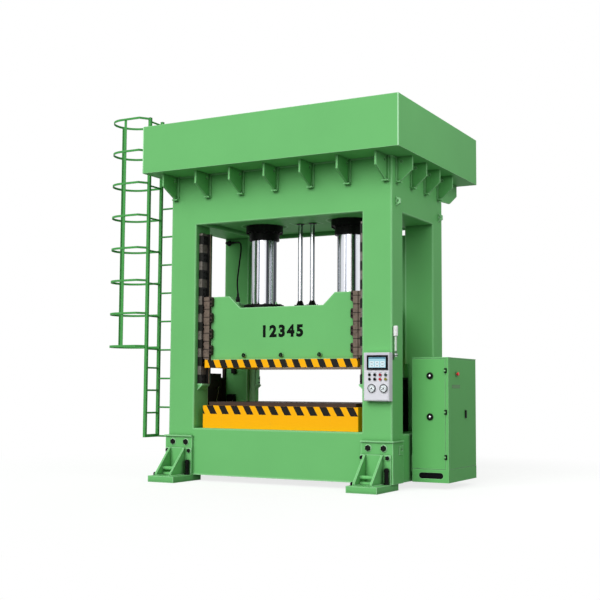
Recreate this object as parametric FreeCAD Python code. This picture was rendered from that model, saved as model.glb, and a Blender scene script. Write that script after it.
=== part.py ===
import FreeCAD, Part
import math
import os

V = FreeCAD.Vector

# A four-post welded press. Origin: centre of the four anchor holes, on the floor.
# X runs to the right seen from the front, Y runs to the back, Z runs up. Millimetres.

# Running and seating clearances
rod_clearance = 0.5
guide_clearance = 0.5
stem_clearance = 0.4
seat_clearance = 0.5
door_gap = 3

# Welded frame: a base, four columns and a crown round one window through the front
# and a window through each side
frame_width = 3300
frame_depth = 1715
base_height = 619
window_height = 2748
crown_height = 679
column_width = 404
column_depth = 338
side_sill_drop = 25
soffit_recess = 53
soffit_lip = 60
edge_bevel = 10
lug_rise = 122
lug_reach = 60
lug_thickness = 30
lug_from_corner = 130
lug_eye_radius = 16

# Feet
foot_base_thickness = 82
foot_width = 406
foot_reach = 455
foot_under_frame = 190
foot_plate_top = 522
foot_step_level = 355
foot_lower_plate = 45
foot_upper_plate = 30
foot_ledge_reach = 52
foot_ledge_thickness = 18
foot_rib_thickness = 28
foot_rib_left = -140
foot_rib_right = 90
foot_rib_reach = 370
foot_rib_nose = 28
foot_bar_radius = 30
foot_bar_forward = 200
foot_bar_rise = 10
foot_rib_crest = 15
cheek_thickness = 25
cheek_length = 285
cheek_ledge_reach = 36
cheek_lug_size = 110
cheek_lug_drop = 60
cheek_lug_inset = 30
cheek_eye_radius = 18
anchor_hole_radius = 26
anchor_hole_forward = 300
foot_bolt_radius = 20
foot_bolt_depth = 60
foot_bolt_spare = 5
upper_bolt_offset = 104
upper_bolt_level = 433
upper_bolt_flats = 65
lower_bolt_level = 318
lower_bolt_left = -179
lower_bolt_right = 164
lower_bolt_flats = 46
bolt_head_height = 24
tall_stud_radius = 24
tall_stud_height = 198
tall_stud_x = 160
tall_stud_forward = 80
short_stud_radius = 18
short_stud_height = 40
short_stud_x = -177
short_stud_forward = 330
stud_nut_height = 30
stud_thread_left = 12
stud_clearance = 1

# Platform on the crown, with its parapet and the gussets under it
overhang_left = 174
overhang_right = 287
overhang_front = 463
overhang_back = 628
deck_thickness = 20
parapet_height = 643
parapet_wall = 12
deck_hole_margin = 15
entry_width = 230
entry_sill = 60
gusset_pitch_front = 525
front_gusset_count = 7
gusset_pitch_side = 470
side_gusset_count = 4
gusset_reach_front = 330
gusset_edge_margin = 70
gusset_height = 305
gusset_thickness = 25
gusset_edge_height = 172
gusset_foot_width = 60
gusset_pad_width = 80
gusset_pad_thickness = 18
gusset_hole_radius = 20
gusset_hole_out = 70
gusset_hole_down = 60

# Main cylinders and their rods
rod_spacing = 1338
rod_radius = 176
piston_radius = 249.6
piston_length = 200
cylinder_bore_radius = 250
cylinder_wall = 70
flange_radius = 430
flange_thickness = 80
cylinder_cap = 70
cylinder_bevel = 30
gland_upper_radius = 259
gland_lower_radius = 210
gland_upper_length = 93
gland_lower_length = 111
gland_spigot = 80
piston_cushion = 40

# Return cylinders, one block with two bores
return_spacing = 187
return_rod_radius = 32
return_piston_radius = 59.6
return_piston_length = 90
return_bore_radius = 60
return_block_width = 400
return_block_depth = 220
return_flange_margin = 25
return_flange_thickness = 40
return_floor = 60
rod_foot_radius = 80
rod_foot_height = 122
rod_cone_height = 64
rod_neck_radius = 58

# Slide and its travel from the position in which it is drawn
travel_up = 650
travel_down = 160
daylight = 457
slide_side_gap = 170
slide_front_gap = 146.5
slide_core_height = 635
slide_ear_rise = 218
slide_notch_rise = 59
slide_ear_width = 283
slide_notch_run = 168
slide_plate = 50
slide_side_wall = 40
slide_side_rise = 178
seat_radius = 254
seat_height = 36
seat_rib_height = 150
seat_rib_thickness = 20
seat_rib_gap = 12
seat_rib_crest = 14
seat_rib_foot = 66
platen_overhang = 65
platen_front_gap = 93
platen_height = 106
eye_pitch = 566
eye_shift = 20
eye_height = 58
eye_radius = 28
eye_reach = 26
eye_bore_radius = 12.6
eye_bore_depth = 10
port_inset = 38
port_y = -98
port_size = 70
port_flat = 5
port_rise = 190
port_nipple_radius = 17
port_nipple_length = 70

# Guides on the window's side walls and the shoes that run on them
rail_bottom = 593
rail_top_gap = 108
rail_front_gap = 76
rail_bar_width = 122
rail_bar_thickness = 55
rail_tongue_width = 58
rail_tongue_reach = 96
rail_block_proud = 12
rail_block_height = 120
rail_block_pitch = 237
rail_block_inset = 4
rail_stop_reach = 80
rail_stop_height = 90
rail_stop_lip = 20
shoe_tongue_gap = 8
shoe_depth = 213
shoe_wing_front = 110
shoe_wing_lift = 12
clamp_block_width = 38
clamp_block_depth = 48
clamp_block_height = 128
clamp_block_first = 70
clamp_block_count = 4
clamp_block_pitch = 218
clamp_block_corner = 14

# Bolster, fixed on the window's floor
bolster_side_gap = 92
bolster_front_gap = 86
bolster_height = 302
bolster_plate_thickness = 48
bolster_plate_inset = 60

# Guards standing in the side windows
guard_height = 715
guard_post_height = 900
guard_post = 40
guard_sheet = 5
guard_rail = 30
guard_stay_radius = 9
guard_stay_low_y = 150
guard_stay_high_y = 320
guard_stay_rise = 560
guard_knob_radius = 20
guard_knob_end = 18
guard_stay_shoe = 40
guard_stay_shoe_margin = 14
guard_stay_shoe_rise = 20
guard_stay_lift = 4

# Ladder on the left and its safety cage
ladder_distance = 310
ladder_inset = 23.5
ladder_spacing = 288
ladder_rail = 40
ladder_foot_drop = 140
ladder_over_parapet = 218
rung_radius = 12.5
lower_rung_pitch = 308
lower_rung_count = 4
rung_below_hoop = 49
lower_rung_lift = 24
parapet_tie_count = 2
standoff_radius = 12.5
standoff_pitch = 396
standoff_first = 11
parapet_tie_low = 150
parapet_tie_pitch = 380
hoop_count = 8
hoop_pitch = 453
hoop_radius = 281
hoop_bar = 8
hoop_height = 30
hoop_depth = 670
hoop_flare = 85
strap_width = 40
strap_thickness = 6
strap_turn = 20
strap_straight = 62

# Operator box on the front right column, with its screen, buttons and gauges
box_setback = 334
box_width = 339
box_rise = 386
box_height = 591
box_depth = 110
box_bevel = 12
screen_left = 51
screen_width = 278
screen_low = 381
screen_height = 177
screen_depth = 18
screen_margin = 24
screen_recess = 3
screen_bevel = 3
button_first = 84
button_pitch = 72
button_row_low = 266
button_row_step = 54
button_radius = 17
button_height = 12
button_ring = 4
button_ring_height = 3
button_stem_radius = 8
button_stem_length = 20
button_travel = 4
button_bore_depth = 30
selector_bar = 9
selector_disc_height = 7.2
selector_grip_low = 6
selector_grip_high = 19.2
selector_grip_half = 16
button_gap = 1
gauge_low = 156
gauge_first = 116
gauge_pitch = 158
gauge_radius = 51
gauge_rim = 8
gauge_depth = 22
gauge_recess = 9
needle_length = 33
needle_tail = 10
needle_width = 4
needle_thickness = 1.5
needle_lift = 3
needle_stem_radius = 2.5
needle_stem_length = 8
needle_hub_radius = 5
needle_rest_turn = -135

# Signal lamp beside the operator box
beacon_out = 35
beacon_inset = 32.5
beacon_bracket_rise = 939
beacon_bracket_thickness = 12
beacon_bracket_width = 44
beacon_stem_radius = 14
beacon_stem_length = 231
beacon_lamp_radius = 28
beacon_lamp_height = 125
beacon_cap = 10
beacon_cap_taper = 8
beacon_foot_taper = 3
beacon_foot_height = 6
beacon_collar = 7
beacon_collar_height = 14
beacon_plate_thickness = 6
beacon_plate_drop = 46

# Electrical cabinet hung beside the frame
cabinet_gap = 40
cabinet_over_column = 185.5
cabinet_width = 484
cabinet_depth = 1024
cabinet_height = 1553
cabinet_wall = 15
cabinet_plinth = 163
cabinet_door = 20
cabinet_post_width = 40
cabinet_post_depth = 45
vent_left = 88
vent_width = 322
vent_low = 48
vent_height = 73
cabinet_bracket_width = 100
cabinet_bracket_height = 200
cabinet_bracket_low = 120
cabinet_bracket_high = 1220
mounting_plate_thickness = 5
mounting_plate_gap = 25
mounting_plate_margin = 50
mounting_plate_low = 60
mounting_plate_high = 80
mounting_pin_radius = 10
mounting_pin_inset = 20
mounting_pin_rise = 30
gear_row_count = 4
gear_row_first = 160
gear_row_pitch = 300
gear_row_height = 110
gear_row_depth = 80
gear_row_margin = 30
door_seal_gap = 2
bracket_setback = 70
bracket_over_window = 60
hinge_out = 15
hinge_radius = 9
hinge_pin_radius = 4
hinge_height = 60
hinge_leaf = 5
hinge_leaf_width = 20
hinge_low = 286
hinge_middle = 840
hinge_high = 1355
pivot_pin_radius = 5
pivot_pin_length = 10
lock_x = 240
lock_low = 810
lock_high = 1321
lock_radius = 43
lock_height = 11
lock_core_radius = 22
lock_core_height = 7
lock_stem_radius = 9
lock_cam_length = 60
lock_cam_width = 22
lock_cam_thickness = 4
lock_slot_width = 6
lock_slot_half_length = 13
estop_y = 275
estop_level = 1347
estop_radius = 23
estop_height = 26
estop_stem_radius = 8
estop_travel = 6
estop_neck_radius = 13.8
estop_neck_length = 11.7
estop_head_back = 10.4
estop_bevel = 5
estop_collar_radius = 27
estop_collar_height = 5
pilot_spacing = 62
pilot_radius = 17
pilot_height = 14
handle_y = 599
handle_low = 789
handle_length = 98
handle_width = 24
handle_thickness = 14
handle_stand = 8
handle_stem_radius = 7
handle_corner = 7.2
stem_end_gap = 2

# Oil equipment standing on the platform
tank_side_gap = 750
tank_depth = 760
tank_height = 480
tank_y = 900
tank_lid = 12
tank_filler_radius = 70
tank_filler_height = 60
tank_filler_x = 630
tank_lid_margin = 10
motor_inset = 750
motor_y = -800
motor_radius = 140
motor_length = 420
motor_centre_height = 200
motor_foot_width = 240
motor_foot_inset = 40
motor_foot_thickness = 20
motor_web_inset = 60
motor_web_width = 140
terminal_from_end = 120
terminal_size = 120
terminal_rise = 50
pump_radius = 85
pump_length = 230
pump_flange_radius = 150
pump_flange_length = 40
manifold_width = 420
manifold_depth = 260
manifold_height = 260
manifold_y = -760
valve_count = 4
valve_height = 120
valve_width = 64
valve_margin = 20

# Hose from the back left column to the slide
hose_radius = 12
union_inset = 57
union_drop = 64
union_radius = 20
union_length = 60
nozzle_radius = 17
nozzle_length = 53
junction_width = 125
junction_height = 112
junction_depth = 70
junction_inset = 150
junction_rise = 390
outlet_width = 70
outlet_height = 80
outlet_depth = 45
outlet_inset = 185
outlet_rise = 789
small_box_bevel = 5
hose_run = 70

# Levels and half sizes that follow
frame_bottom = foot_base_thickness
half_width = frame_width / 2
half_depth = frame_depth / 2
floor_level = frame_bottom + base_height
lintel_level = floor_level + window_height
soffit_level = lintel_level + soffit_recess
frame_top = lintel_level + crown_height
window_half = half_width - column_width
side_window_half = half_depth - column_depth
column_centre = half_width - column_width / 2
deck_top = frame_top + deck_thickness
parapet_top = frame_top + parapet_height
bolster_top = floor_level + bolster_height
table_level = bolster_top + bolster_plate_thickness
platen_bottom = table_level + daylight
slide_bottom = platen_bottom + platen_height
slide_top = slide_bottom + slide_core_height
seat_level = slide_top + seat_height
slide_half_width = window_half - slide_side_gap
slide_half_depth = half_depth - slide_front_gap
slide_ear_half_gap = slide_half_width - slide_ear_width
slide_notch_half = slide_ear_half_gap - slide_notch_run
platen_half_width = slide_half_width + platen_overhang
platen_half_depth = half_depth - platen_front_gap
port_x = port_inset - slide_half_width
bolster_half_width = window_half - bolster_side_gap
bolster_half_depth = half_depth - bolster_front_gap
rod_x = rod_spacing / 2
return_x = return_spacing / 2
gland_bottom = soffit_level - gland_upper_length - gland_lower_length
spigot_top = soffit_level + gland_spigot
piston_bottom = spigot_top + piston_cushion + travel_down
cylinder_blind_end = piston_bottom + piston_length + travel_up + piston_cushion / 2
cylinder_top = cylinder_blind_end + cylinder_cap
cylinder_radius = cylinder_bore_radius + cylinder_wall
return_piston_bottom = soffit_level + return_floor + piston_cushion + travel_down
return_blind_end = return_piston_bottom + return_piston_length + travel_up + piston_cushion / 2
return_top = return_blind_end + return_floor
rail_level = floor_level + rail_bottom
rail_top = lintel_level - rail_top_gap
shoe_outer = window_half - rail_tongue_reach - shoe_tongue_gap
ladder_centre_y = ladder_inset - half_depth
ladder_bottom = floor_level - ladder_foot_drop
ladder_top = parapet_top + ladder_over_parapet
box_left = half_width - box_setback
box_bottom = floor_level + box_rise
box_front = -half_depth - box_depth
beacon_y = beacon_inset - half_depth
beacon_bracket_level = floor_level + beacon_bracket_rise
cabinet_left = half_width + cabinet_gap
cabinet_right = cabinet_left + cabinet_width
cabinet_back = side_window_half + cabinet_over_column
cabinet_front = cabinet_back - cabinet_depth
cabinet_bottom = frame_bottom
cabinet_top = cabinet_bottom + cabinet_height
door_bottom = cabinet_bottom + cabinet_plinth + door_gap
door_top = cabinet_top - cabinet_wall - door_gap
post_left = cabinet_right - cabinet_post_width
hinge_x = post_left - door_gap / 2
hinge_y = cabinet_front - hinge_out
pivot_x = cabinet_right - cabinet_door / 2
pivot_y = cabinet_back - cabinet_door / 2

motor_x = half_width - motor_inset
union_x = union_inset - half_width
union_level = lintel_level - union_drop
junction_x = junction_inset - half_width
junction_level = floor_level + junction_rise
outlet_x = outlet_inset - half_width
outlet_level = floor_level + outlet_rise

parts = {}


def block(x0, x1, y0, y1, z0, z1):
    """An upright block between two corners."""
    return Part.makeBox(x1 - x0, y1 - y0, z1 - z0, V(x0, y0, z0))


def bar(radius, start, end):
    """A round bar from one point to another."""
    axis = end - start
    return Part.makeCylinder(radius, axis.Length, start, axis)


def upright(radius, x, y, z0, z1):
    """A round bar standing along Z."""
    return bar(radius, V(x, y, z0), V(x, y, z1))


def prism(corners, sweep):
    """A flat outline swept straight."""
    return Part.Face(Part.makePolygon(corners + corners[:1])).extrude(sweep)


def turned(profile, x, y):
    """A profile of (radius, height) points turned about an upright axis."""
    corners = [V(x + r, y, z) for r, z in profile]
    face = Part.Face(Part.makePolygon(corners + corners[:1]))
    return face.revolve(V(x, y, 0), V(0, 0, 1), 360)


def fused(shapes):
    """One solid from touching or overlapping shapes."""
    return shapes[0].multiFuse(shapes[1:]).removeSplitter()


def group(shapes):
    """Separate solids kept together under one name."""
    return Part.makeCompound(shapes)


def mirrored_x(shape):
    return shape.mirror(V(0, 0, 0), V(1, 0, 0))


def mirrored_y(shape):
    return shape.mirror(V(0, 0, 0), V(0, 1, 0))


def half_turn(shape):
    """The same piece turned half way round the press's upright axis."""
    turned_shape = shape.copy()
    turned_shape.rotate(V(0, 0, 0), V(0, 0, 1), 180)
    return turned_shape


def hexagon(flats, x, y, z, depth):
    """A hexagon prism whose axis runs along Y from the point, with upright flats at its sides."""
    radius = flats / math.sqrt(3)
    corners = []
    for step in range(6):
        angle = math.radians(60 * step + 30)
        corners.append(V(x + radius * math.cos(angle), y, z + radius * math.sin(angle)))
    return prism(corners, V(0, depth, 0))


def nut(flats, x, y, z0, z1):
    """A hexagon prism standing along Z."""
    radius = flats / math.sqrt(3)
    corners = []
    for step in range(6):
        angle = math.radians(60 * step + 30)
        corners.append(V(x + radius * math.cos(angle), y + radius * math.sin(angle), z0))
    return prism(corners, V(0, 0, z1 - z0))


def edges_where(shape, test):
    """The straight edges whose two ends both pass the test."""
    found = []
    for edge in shape.Edges:
        ends = [vertex.Point for vertex in edge.Vertexes]
        if len(ends) == 2 and test(*ends):
            found.append(edge)
    return found


def near(a, b):
    return abs(a - b) < 0.01


def foot_bolt_places():
    """Bolt centres on one foot: across the foot, level, and width over the flats."""
    upper = [(side * upper_bolt_offset, upper_bolt_level, upper_bolt_flats) for side in (-1, 1)]
    lower = [(across, lower_bolt_level, lower_bolt_flats) for across in (lower_bolt_left, lower_bolt_right)]
    return upper + lower


def bolt_shank_radius(flats):
    """The shank grows with its head."""
    return foot_bolt_radius * flats / upper_bolt_flats


def both_ends(make):
    """Four copies: front left, front right, and the same two turned half way round."""
    front = [make(-column_centre), make(column_centre)]
    return front + [half_turn(shape) for shape in front]


# ---- Welded frame ----

def frame_bolt_holes(centre_x):
    """Tapped holes behind one foot's plate."""
    holes = []
    for across, level, flats in foot_bolt_places():
        radius = bolt_shank_radius(flats) + seat_clearance
        depth = foot_bolt_depth + foot_bolt_spare
        start = V(centre_x + across, -half_depth - 1, frame_bottom + level)
        holes.append(bar(radius, start, start + V(0, depth + 1, 0)))
    return fused_loose(holes)


def fused_loose(shapes):
    """Shapes gathered as one tool for a cut."""
    return shapes[0].multiFuse(shapes[1:])


def lifting_lug(side, y):
    """A plate with an eye on the crown's side."""
    level = lintel_level + lug_rise
    face = side * half_width
    tip = face + side * lug_reach
    eye_x = face + side * lug_reach / 2
    plate = prism(
        [V(face, y, level - lug_reach), V(tip, y, level - lug_reach / 2), V(tip, y, level + lug_reach / 2),
         V(face, y, level + lug_reach)],
        V(0, lug_thickness, 0),
    )
    return plate.cut(bar(lug_eye_radius, V(eye_x, y - 1, level), V(eye_x, y + lug_thickness + 1, level)))


def rail_stop(side, front):
    """The bracket on the window's side wall that a guide rail stands on."""
    wall = side * window_half
    tip = wall - side * rail_stop_reach
    y = front * (half_depth - rail_front_gap)
    corners = [
        V(wall, y, rail_level),
        V(tip, y, rail_level),
        V(tip, y, rail_level - rail_stop_lip),
        V(wall, y, rail_level - rail_stop_height),
    ]
    return prism(corners, V(0, -front * (rail_bar_width + rail_tongue_width), 0))


def welded_frame():
    past = 1
    body = block(-half_width, half_width, -half_depth, half_depth, frame_bottom, frame_top)
    window = block(-window_half, window_half, -half_depth - past, half_depth + past, floor_level, lintel_level)
    body = body.cut(window)
    for side in (-1, 1):
        inner, outer = sorted((side * window_half, side * (half_width + past)))
        opening = block(inner, outer, -side_window_half, side_window_half,
                        floor_level - side_sill_drop, lintel_level)
        body = body.cut(opening)

    # bevels on the corner edges and round the windows' mouths
    def corner_edge(a, b):
        return (near(abs(a.x), half_width) and near(abs(a.y), half_depth) and near(a.x, b.x) and near(a.y, b.y))

    def front_mouth(a, b):
        inside = max(abs(a.x), abs(b.x)) < half_width - past and max(a.z, b.z) < frame_top - past
        return near(abs(a.y), half_depth) and near(a.y, b.y) and inside and min(a.z, b.z) > frame_bottom + past

    def side_mouth(a, b):
        inside = max(abs(a.y), abs(b.y)) < half_depth - past and max(a.z, b.z) < frame_top - past
        return near(abs(a.x), half_width) and near(a.x, b.x) and inside and min(a.z, b.z) > frame_bottom + past

    for test in (corner_edge, front_mouth, side_mouth):
        body = body.makeChamfer(edge_bevel, edges_where(body, test))

    # recess in the crown's underside, then the bores for the cylinders
    recess_x = window_half - soffit_lip
    recess_y = half_depth - soffit_lip
    body = body.cut(block(-recess_x, recess_x, -recess_y, recess_y, lintel_level - past, soffit_level))
    for side in (-1, 1):
        seat = cylinder_radius + seat_clearance
        body = body.cut(upright(seat, side * rod_x, 0, soffit_level - past, frame_top + past))
    slot_x = return_block_width / 2 + seat_clearance
    slot_y = return_block_depth / 2 + seat_clearance
    body = body.cut(block(-slot_x, slot_x, -slot_y, slot_y, soffit_level - past, frame_top + past))
    body = body.cut(fused_loose(both_ends(frame_bolt_holes)))

    stops = [rail_stop(side, front) for side in (-1, 1) for front in (-1, 1)]
    lug_y = half_depth - lug_from_corner
    lugs = [lifting_lug(side, end * lug_y - lug_thickness / 2) for side in (-1, 1) for end in (-1, 1)]
    return fused([body] + stops + lugs)


# ---- Feet and their fasteners ----

def foot(centre_x):
    """A bracket of plates under a front corner: base, upright plate, two ribs and a cheek."""
    outer = 1 if centre_x > 0 else -1
    face = -half_depth
    half = foot_width / 2
    top = frame_bottom
    step = frame_bottom + foot_step_level
    crest = frame_bottom + foot_plate_top
    left = centre_x - half
    right = centre_x + half
    pieces = [
        block(left, right, face - foot_reach, face + foot_under_frame, 0, top),
        block(left, right, face - foot_lower_plate, face, top, step),
        block(left, right, face - foot_upper_plate, face, step, crest),
    ]

    # cheek plate on the frame's outer side, with a ledge round both plates
    inner_x = outer * half_width
    outer_x = outer * (half_width + cheek_thickness)
    ledge_x = outer * (half_width + cheek_ledge_reach)
    x0, x1 = sorted((inner_x, outer_x))
    pieces.append(block(x0, x1, face - foot_upper_plate, face + cheek_length, top, crest))
    x0, x1 = sorted((centre_x - outer * half, ledge_x))
    ledge_low = crest - foot_ledge_thickness
    pieces.append(block(x0, x1, face - foot_ledge_reach, face, ledge_low, crest))
    x0, x1 = sorted((inner_x, ledge_x))
    pieces.append(block(x0, x1, face, face + cheek_length, ledge_low, crest))
    lug_low = crest - cheek_lug_size - cheek_lug_drop
    x0, x1 = sorted((outer_x, ledge_x))
    lug_y = face + cheek_length - cheek_lug_size - cheek_lug_inset
    lug = block(x0, x1, lug_y, lug_y + cheek_lug_size, lug_low, lug_low + cheek_lug_size)
    pieces.append(lug)

    # sloping ribs and the round bar between them
    for across in (foot_rib_left, foot_rib_right):
        x = centre_x + across - foot_rib_thickness / 2
        outline = [
            V(x, face - foot_lower_plate, top),
            V(x, face - foot_rib_reach, top),
            V(x, face - foot_rib_reach, top + foot_rib_nose),
            V(x, face - foot_lower_plate - foot_rib_crest, step),
            V(x, face - foot_lower_plate, step),
        ]
        pieces.append(prism(outline, V(foot_rib_thickness, 0, 0)))
    bar_y = face - foot_bar_forward
    bar_z = top + foot_bar_rise
    pieces.append(bar(foot_bar_radius, V(centre_x + foot_rib_left, bar_y, bar_z),
                      V(centre_x + foot_rib_right, bar_y, bar_z)))
    body = fused(pieces)

    # holes: anchor, studs, bolts and the cheek lug's eye
    holes = []
    for radius, across, forward in (
        (anchor_hole_radius, 0, anchor_hole_forward),
        (tall_stud_radius + stud_clearance, tall_stud_x, tall_stud_forward),
        (short_stud_radius + stud_clearance, short_stud_x, short_stud_forward),
    ):
        holes.append(upright(radius, centre_x + across, face - forward, -1, top + 1))
    for across, level, flats in foot_bolt_places():
        start = V(centre_x + across, face - foot_ledge_reach - 1, frame_bottom + level)
        holes.append(bar(bolt_shank_radius(flats) + seat_clearance, start, V(start.x, face + 1, start.z)))
    eye = V(outer_x - outer * 1, lug_y + 0.65 * cheek_lug_size, lug_low + 0.55 * cheek_lug_size)
    holes.append(bar(cheek_eye_radius, eye, eye + V(outer * cheek_ledge_reach, 0, 0)))
    return body.cut(fused_loose(holes))


def foot_bolts(centre_x):
    """Hexagon-headed bolts through one foot's plate into the frame."""
    bolts = []
    for across, level, flats in foot_bolt_places():
        thickness = foot_upper_plate if level > foot_step_level else foot_lower_plate
        x = centre_x + across
        z = frame_bottom + level
        seat = -half_depth - thickness
        head = hexagon(flats, x, seat - bolt_head_height, z, bolt_head_height)
        shank = bar(bolt_shank_radius(flats), V(x, seat, z), V(x, -half_depth + foot_bolt_depth, z))
        bolts.append(fused([head, shank]))
    return group(bolts)


def stud(radius, height, x, y, nut_levels):
    """A threaded stud with its nuts, standing on the floor in the base plate's hole."""
    top = frame_bottom
    pieces = [upright(radius, x, y, 0, top + height)]
    for level in nut_levels:
        pieces.append(nut(2.3 * radius, x, y, top + level, top + level + stud_nut_height))
    return fused(pieces)


def anchor_studs(centre_x):
    """The tall levelling stud and the short one in a foot's base plate."""
    tall = stud(tall_stud_radius, tall_stud_height, centre_x + tall_stud_x, -half_depth - tall_stud_forward,
                [0, tall_stud_height - stud_nut_height - stud_thread_left])
    short = stud(short_stud_radius, short_stud_height, centre_x + short_stud_x, -half_depth - short_stud_forward, [0])
    return group([tall, short])


# ---- Platform ----

def gusset(reach, outward, base):
    """A bracket plate under the platform: base is on the frame's wall at the deck's underside."""
    up = V(0, 0, 1)
    along = up.cross(outward)
    half = gusset_thickness / 2

    def at(out, down, aside):
        return base + outward * out - up * down + along * aside

    foot_width_here = min(gusset_foot_width, reach / 2)
    web = prism(
        [at(0, 0, -half), at(reach, 0, -half), at(reach, gusset_edge_height, -half),
         at(foot_width_here, gusset_height, -half), at(0, gusset_height, -half)],
        along * gusset_thickness,
    )
    hole_out = min(gusset_hole_out, reach / 2)
    hole_start = at(hole_out, gusset_hole_down, -half - 1)
    web = web.cut(bar(gusset_hole_radius, hole_start, hole_start + along * (gusset_thickness + 2)))
    pad = prism(
        [at(0, 0, -gusset_pad_width / 2), at(gusset_pad_thickness, 0, -gusset_pad_width / 2),
         at(gusset_pad_thickness, gusset_height, -gusset_pad_width / 2), at(0, gusset_height, -gusset_pad_width / 2)],
        along * gusset_pad_width,
    )
    lip = prism(
        [at(0, gusset_height, -gusset_pad_width / 2), at(foot_width_here, gusset_height, -gusset_pad_width / 2),
         at(foot_width_here, gusset_height + gusset_pad_thickness, -gusset_pad_width / 2),
         at(0, gusset_height + gusset_pad_thickness, -gusset_pad_width / 2)],
        along * gusset_pad_width,
    )
    return [web, pad, lip]


def spread(count, pitch):
    """Centred places for a row of like pieces."""
    return [pitch * (step - (count - 1) / 2) for step in range(count)]


def top_platform():
    x0 = -half_width - overhang_left
    x1 = half_width + overhang_right
    y0 = -half_depth - overhang_front
    y1 = half_depth + overhang_back
    wall = parapet_wall
    tray = block(x0, x1, y0, y1, frame_top, parapet_top)
    tray = tray.cut(block(x0 + wall, x1 - wall, y0 + wall, y1 - wall, deck_top, parapet_top + 1))
    for side in (-1, 1):
        tray = tray.cut(upright(flange_radius + deck_hole_margin, side * rod_x, 0, frame_top - 1, deck_top + 1))
    slot_x = return_block_width / 2 + return_flange_margin + deck_hole_margin
    slot_y = return_block_depth / 2 + return_flange_margin + deck_hole_margin
    tray = tray.cut(block(-slot_x, slot_x, -slot_y, slot_y, frame_top - 1, deck_top + 1))
    entry_low = ladder_centre_y - entry_width / 2
    tray = tray.cut(block(x0 - 1, x0 + wall + 1, entry_low, entry_low + entry_width,
                          deck_top + entry_sill, parapet_top + 1))

    pieces = [tray]
    for x in spread(front_gusset_count, gusset_pitch_front):
        pieces += gusset(gusset_reach_front, V(0, -1, 0), V(x, -half_depth, frame_top))
        pieces += gusset(gusset_reach_front, V(0, 1, 0), V(x, half_depth, frame_top))
    for y in spread(side_gusset_count, gusset_pitch_side):
        pieces += gusset(overhang_left - gusset_edge_margin, V(-1, 0, 0), V(-half_width, y, frame_top))
        pieces += gusset(overhang_right - gusset_edge_margin, V(1, 0, 0), V(half_width, y, frame_top))
    return fused(pieces)


# ---- Main cylinders ----

def main_cylinder(x):
    """A closed cylinder let into the crown and carried by its flange."""
    profile = [
        (cylinder_bore_radius, soffit_level),
        (cylinder_radius, soffit_level),
        (cylinder_radius, frame_top),
        (flange_radius, frame_top),
        (flange_radius, frame_top + flange_thickness),
        (cylinder_radius, frame_top + flange_thickness),
        (cylinder_radius, cylinder_top - cylinder_bevel),
        (cylinder_radius - cylinder_bevel, cylinder_top),
        (0, cylinder_top),
        (0, cylinder_blind_end),
        (cylinder_bore_radius, cylinder_blind_end),
    ]
    return turned(profile, x, 0)


def cylinder_gland(x):
    """The stepped ring that closes a cylinder round its rod."""
    bore = rod_radius + rod_clearance
    step = soffit_level - gland_upper_length
    profile = [
        (bore, gland_bottom),
        (gland_lower_radius, gland_bottom),
        (gland_lower_radius, step),
        (gland_upper_radius, step),
        (gland_upper_radius, soffit_level),
        (cylinder_bore_radius - seat_clearance, soffit_level),
        (cylinder_bore_radius - seat_clearance, spigot_top),
        (bore, spigot_top),
    ]
    return turned(profile, x, 0)


def piston_rod(x):
    profile = [
        (0, seat_level),
        (rod_radius, seat_level),
        (rod_radius, piston_bottom),
        (piston_radius, piston_bottom),
        (piston_radius, piston_bottom + piston_length),
        (0, piston_bottom + piston_length),
    ]
    return turned(profile, x, 0)


def return_cylinders():
    half_x = return_block_width / 2
    half_y = return_block_depth / 2
    body = block(-half_x, half_x, -half_y, half_y, soffit_level, return_top)
    margin = return_flange_margin
    flange = block(-half_x - margin, half_x + margin, -half_y - margin, half_y + margin,
                   frame_top, frame_top + return_flange_thickness)
    body = fused([body, flange])
    for side in (-1, 1):
        x = side * return_x
        body = body.cut(upright(return_rod_radius + rod_clearance, x, 0, soffit_level - 1, return_blind_end))
        body = body.cut(upright(return_bore_radius, x, 0, soffit_level + return_floor, return_blind_end))
    return body


def return_rod(x):
    foot_top = slide_top + rod_foot_height
    profile = [
        (0, slide_top),
        (rod_foot_radius, slide_top),
        (rod_foot_radius, foot_top),
        (rod_neck_radius, foot_top),
        (return_rod_radius, foot_top + rod_cone_height),
        (return_rod_radius, return_piston_bottom),
        (return_piston_radius, return_piston_bottom),
        (return_piston_radius, return_piston_bottom + return_piston_length),
        (0, return_piston_bottom + return_piston_length),
    ]
    return turned(profile, x, 0)


# ---- Slide ----

def slide_plate_outline(y):
    """The front plate's outline: raised ears at both sides and a lower middle."""
    ear = slide_top + slide_ear_rise
    notch = slide_top + slide_notch_rise
    right = [
        V(slide_half_width, y, slide_bottom),
        V(slide_half_width, y, ear),
        V(slide_ear_half_gap, y, ear),
        V(slide_notch_half, y, notch),
    ]
    left = [V(-corner.x, y, corner.z) for corner in reversed(right)]
    return right + left


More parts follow.
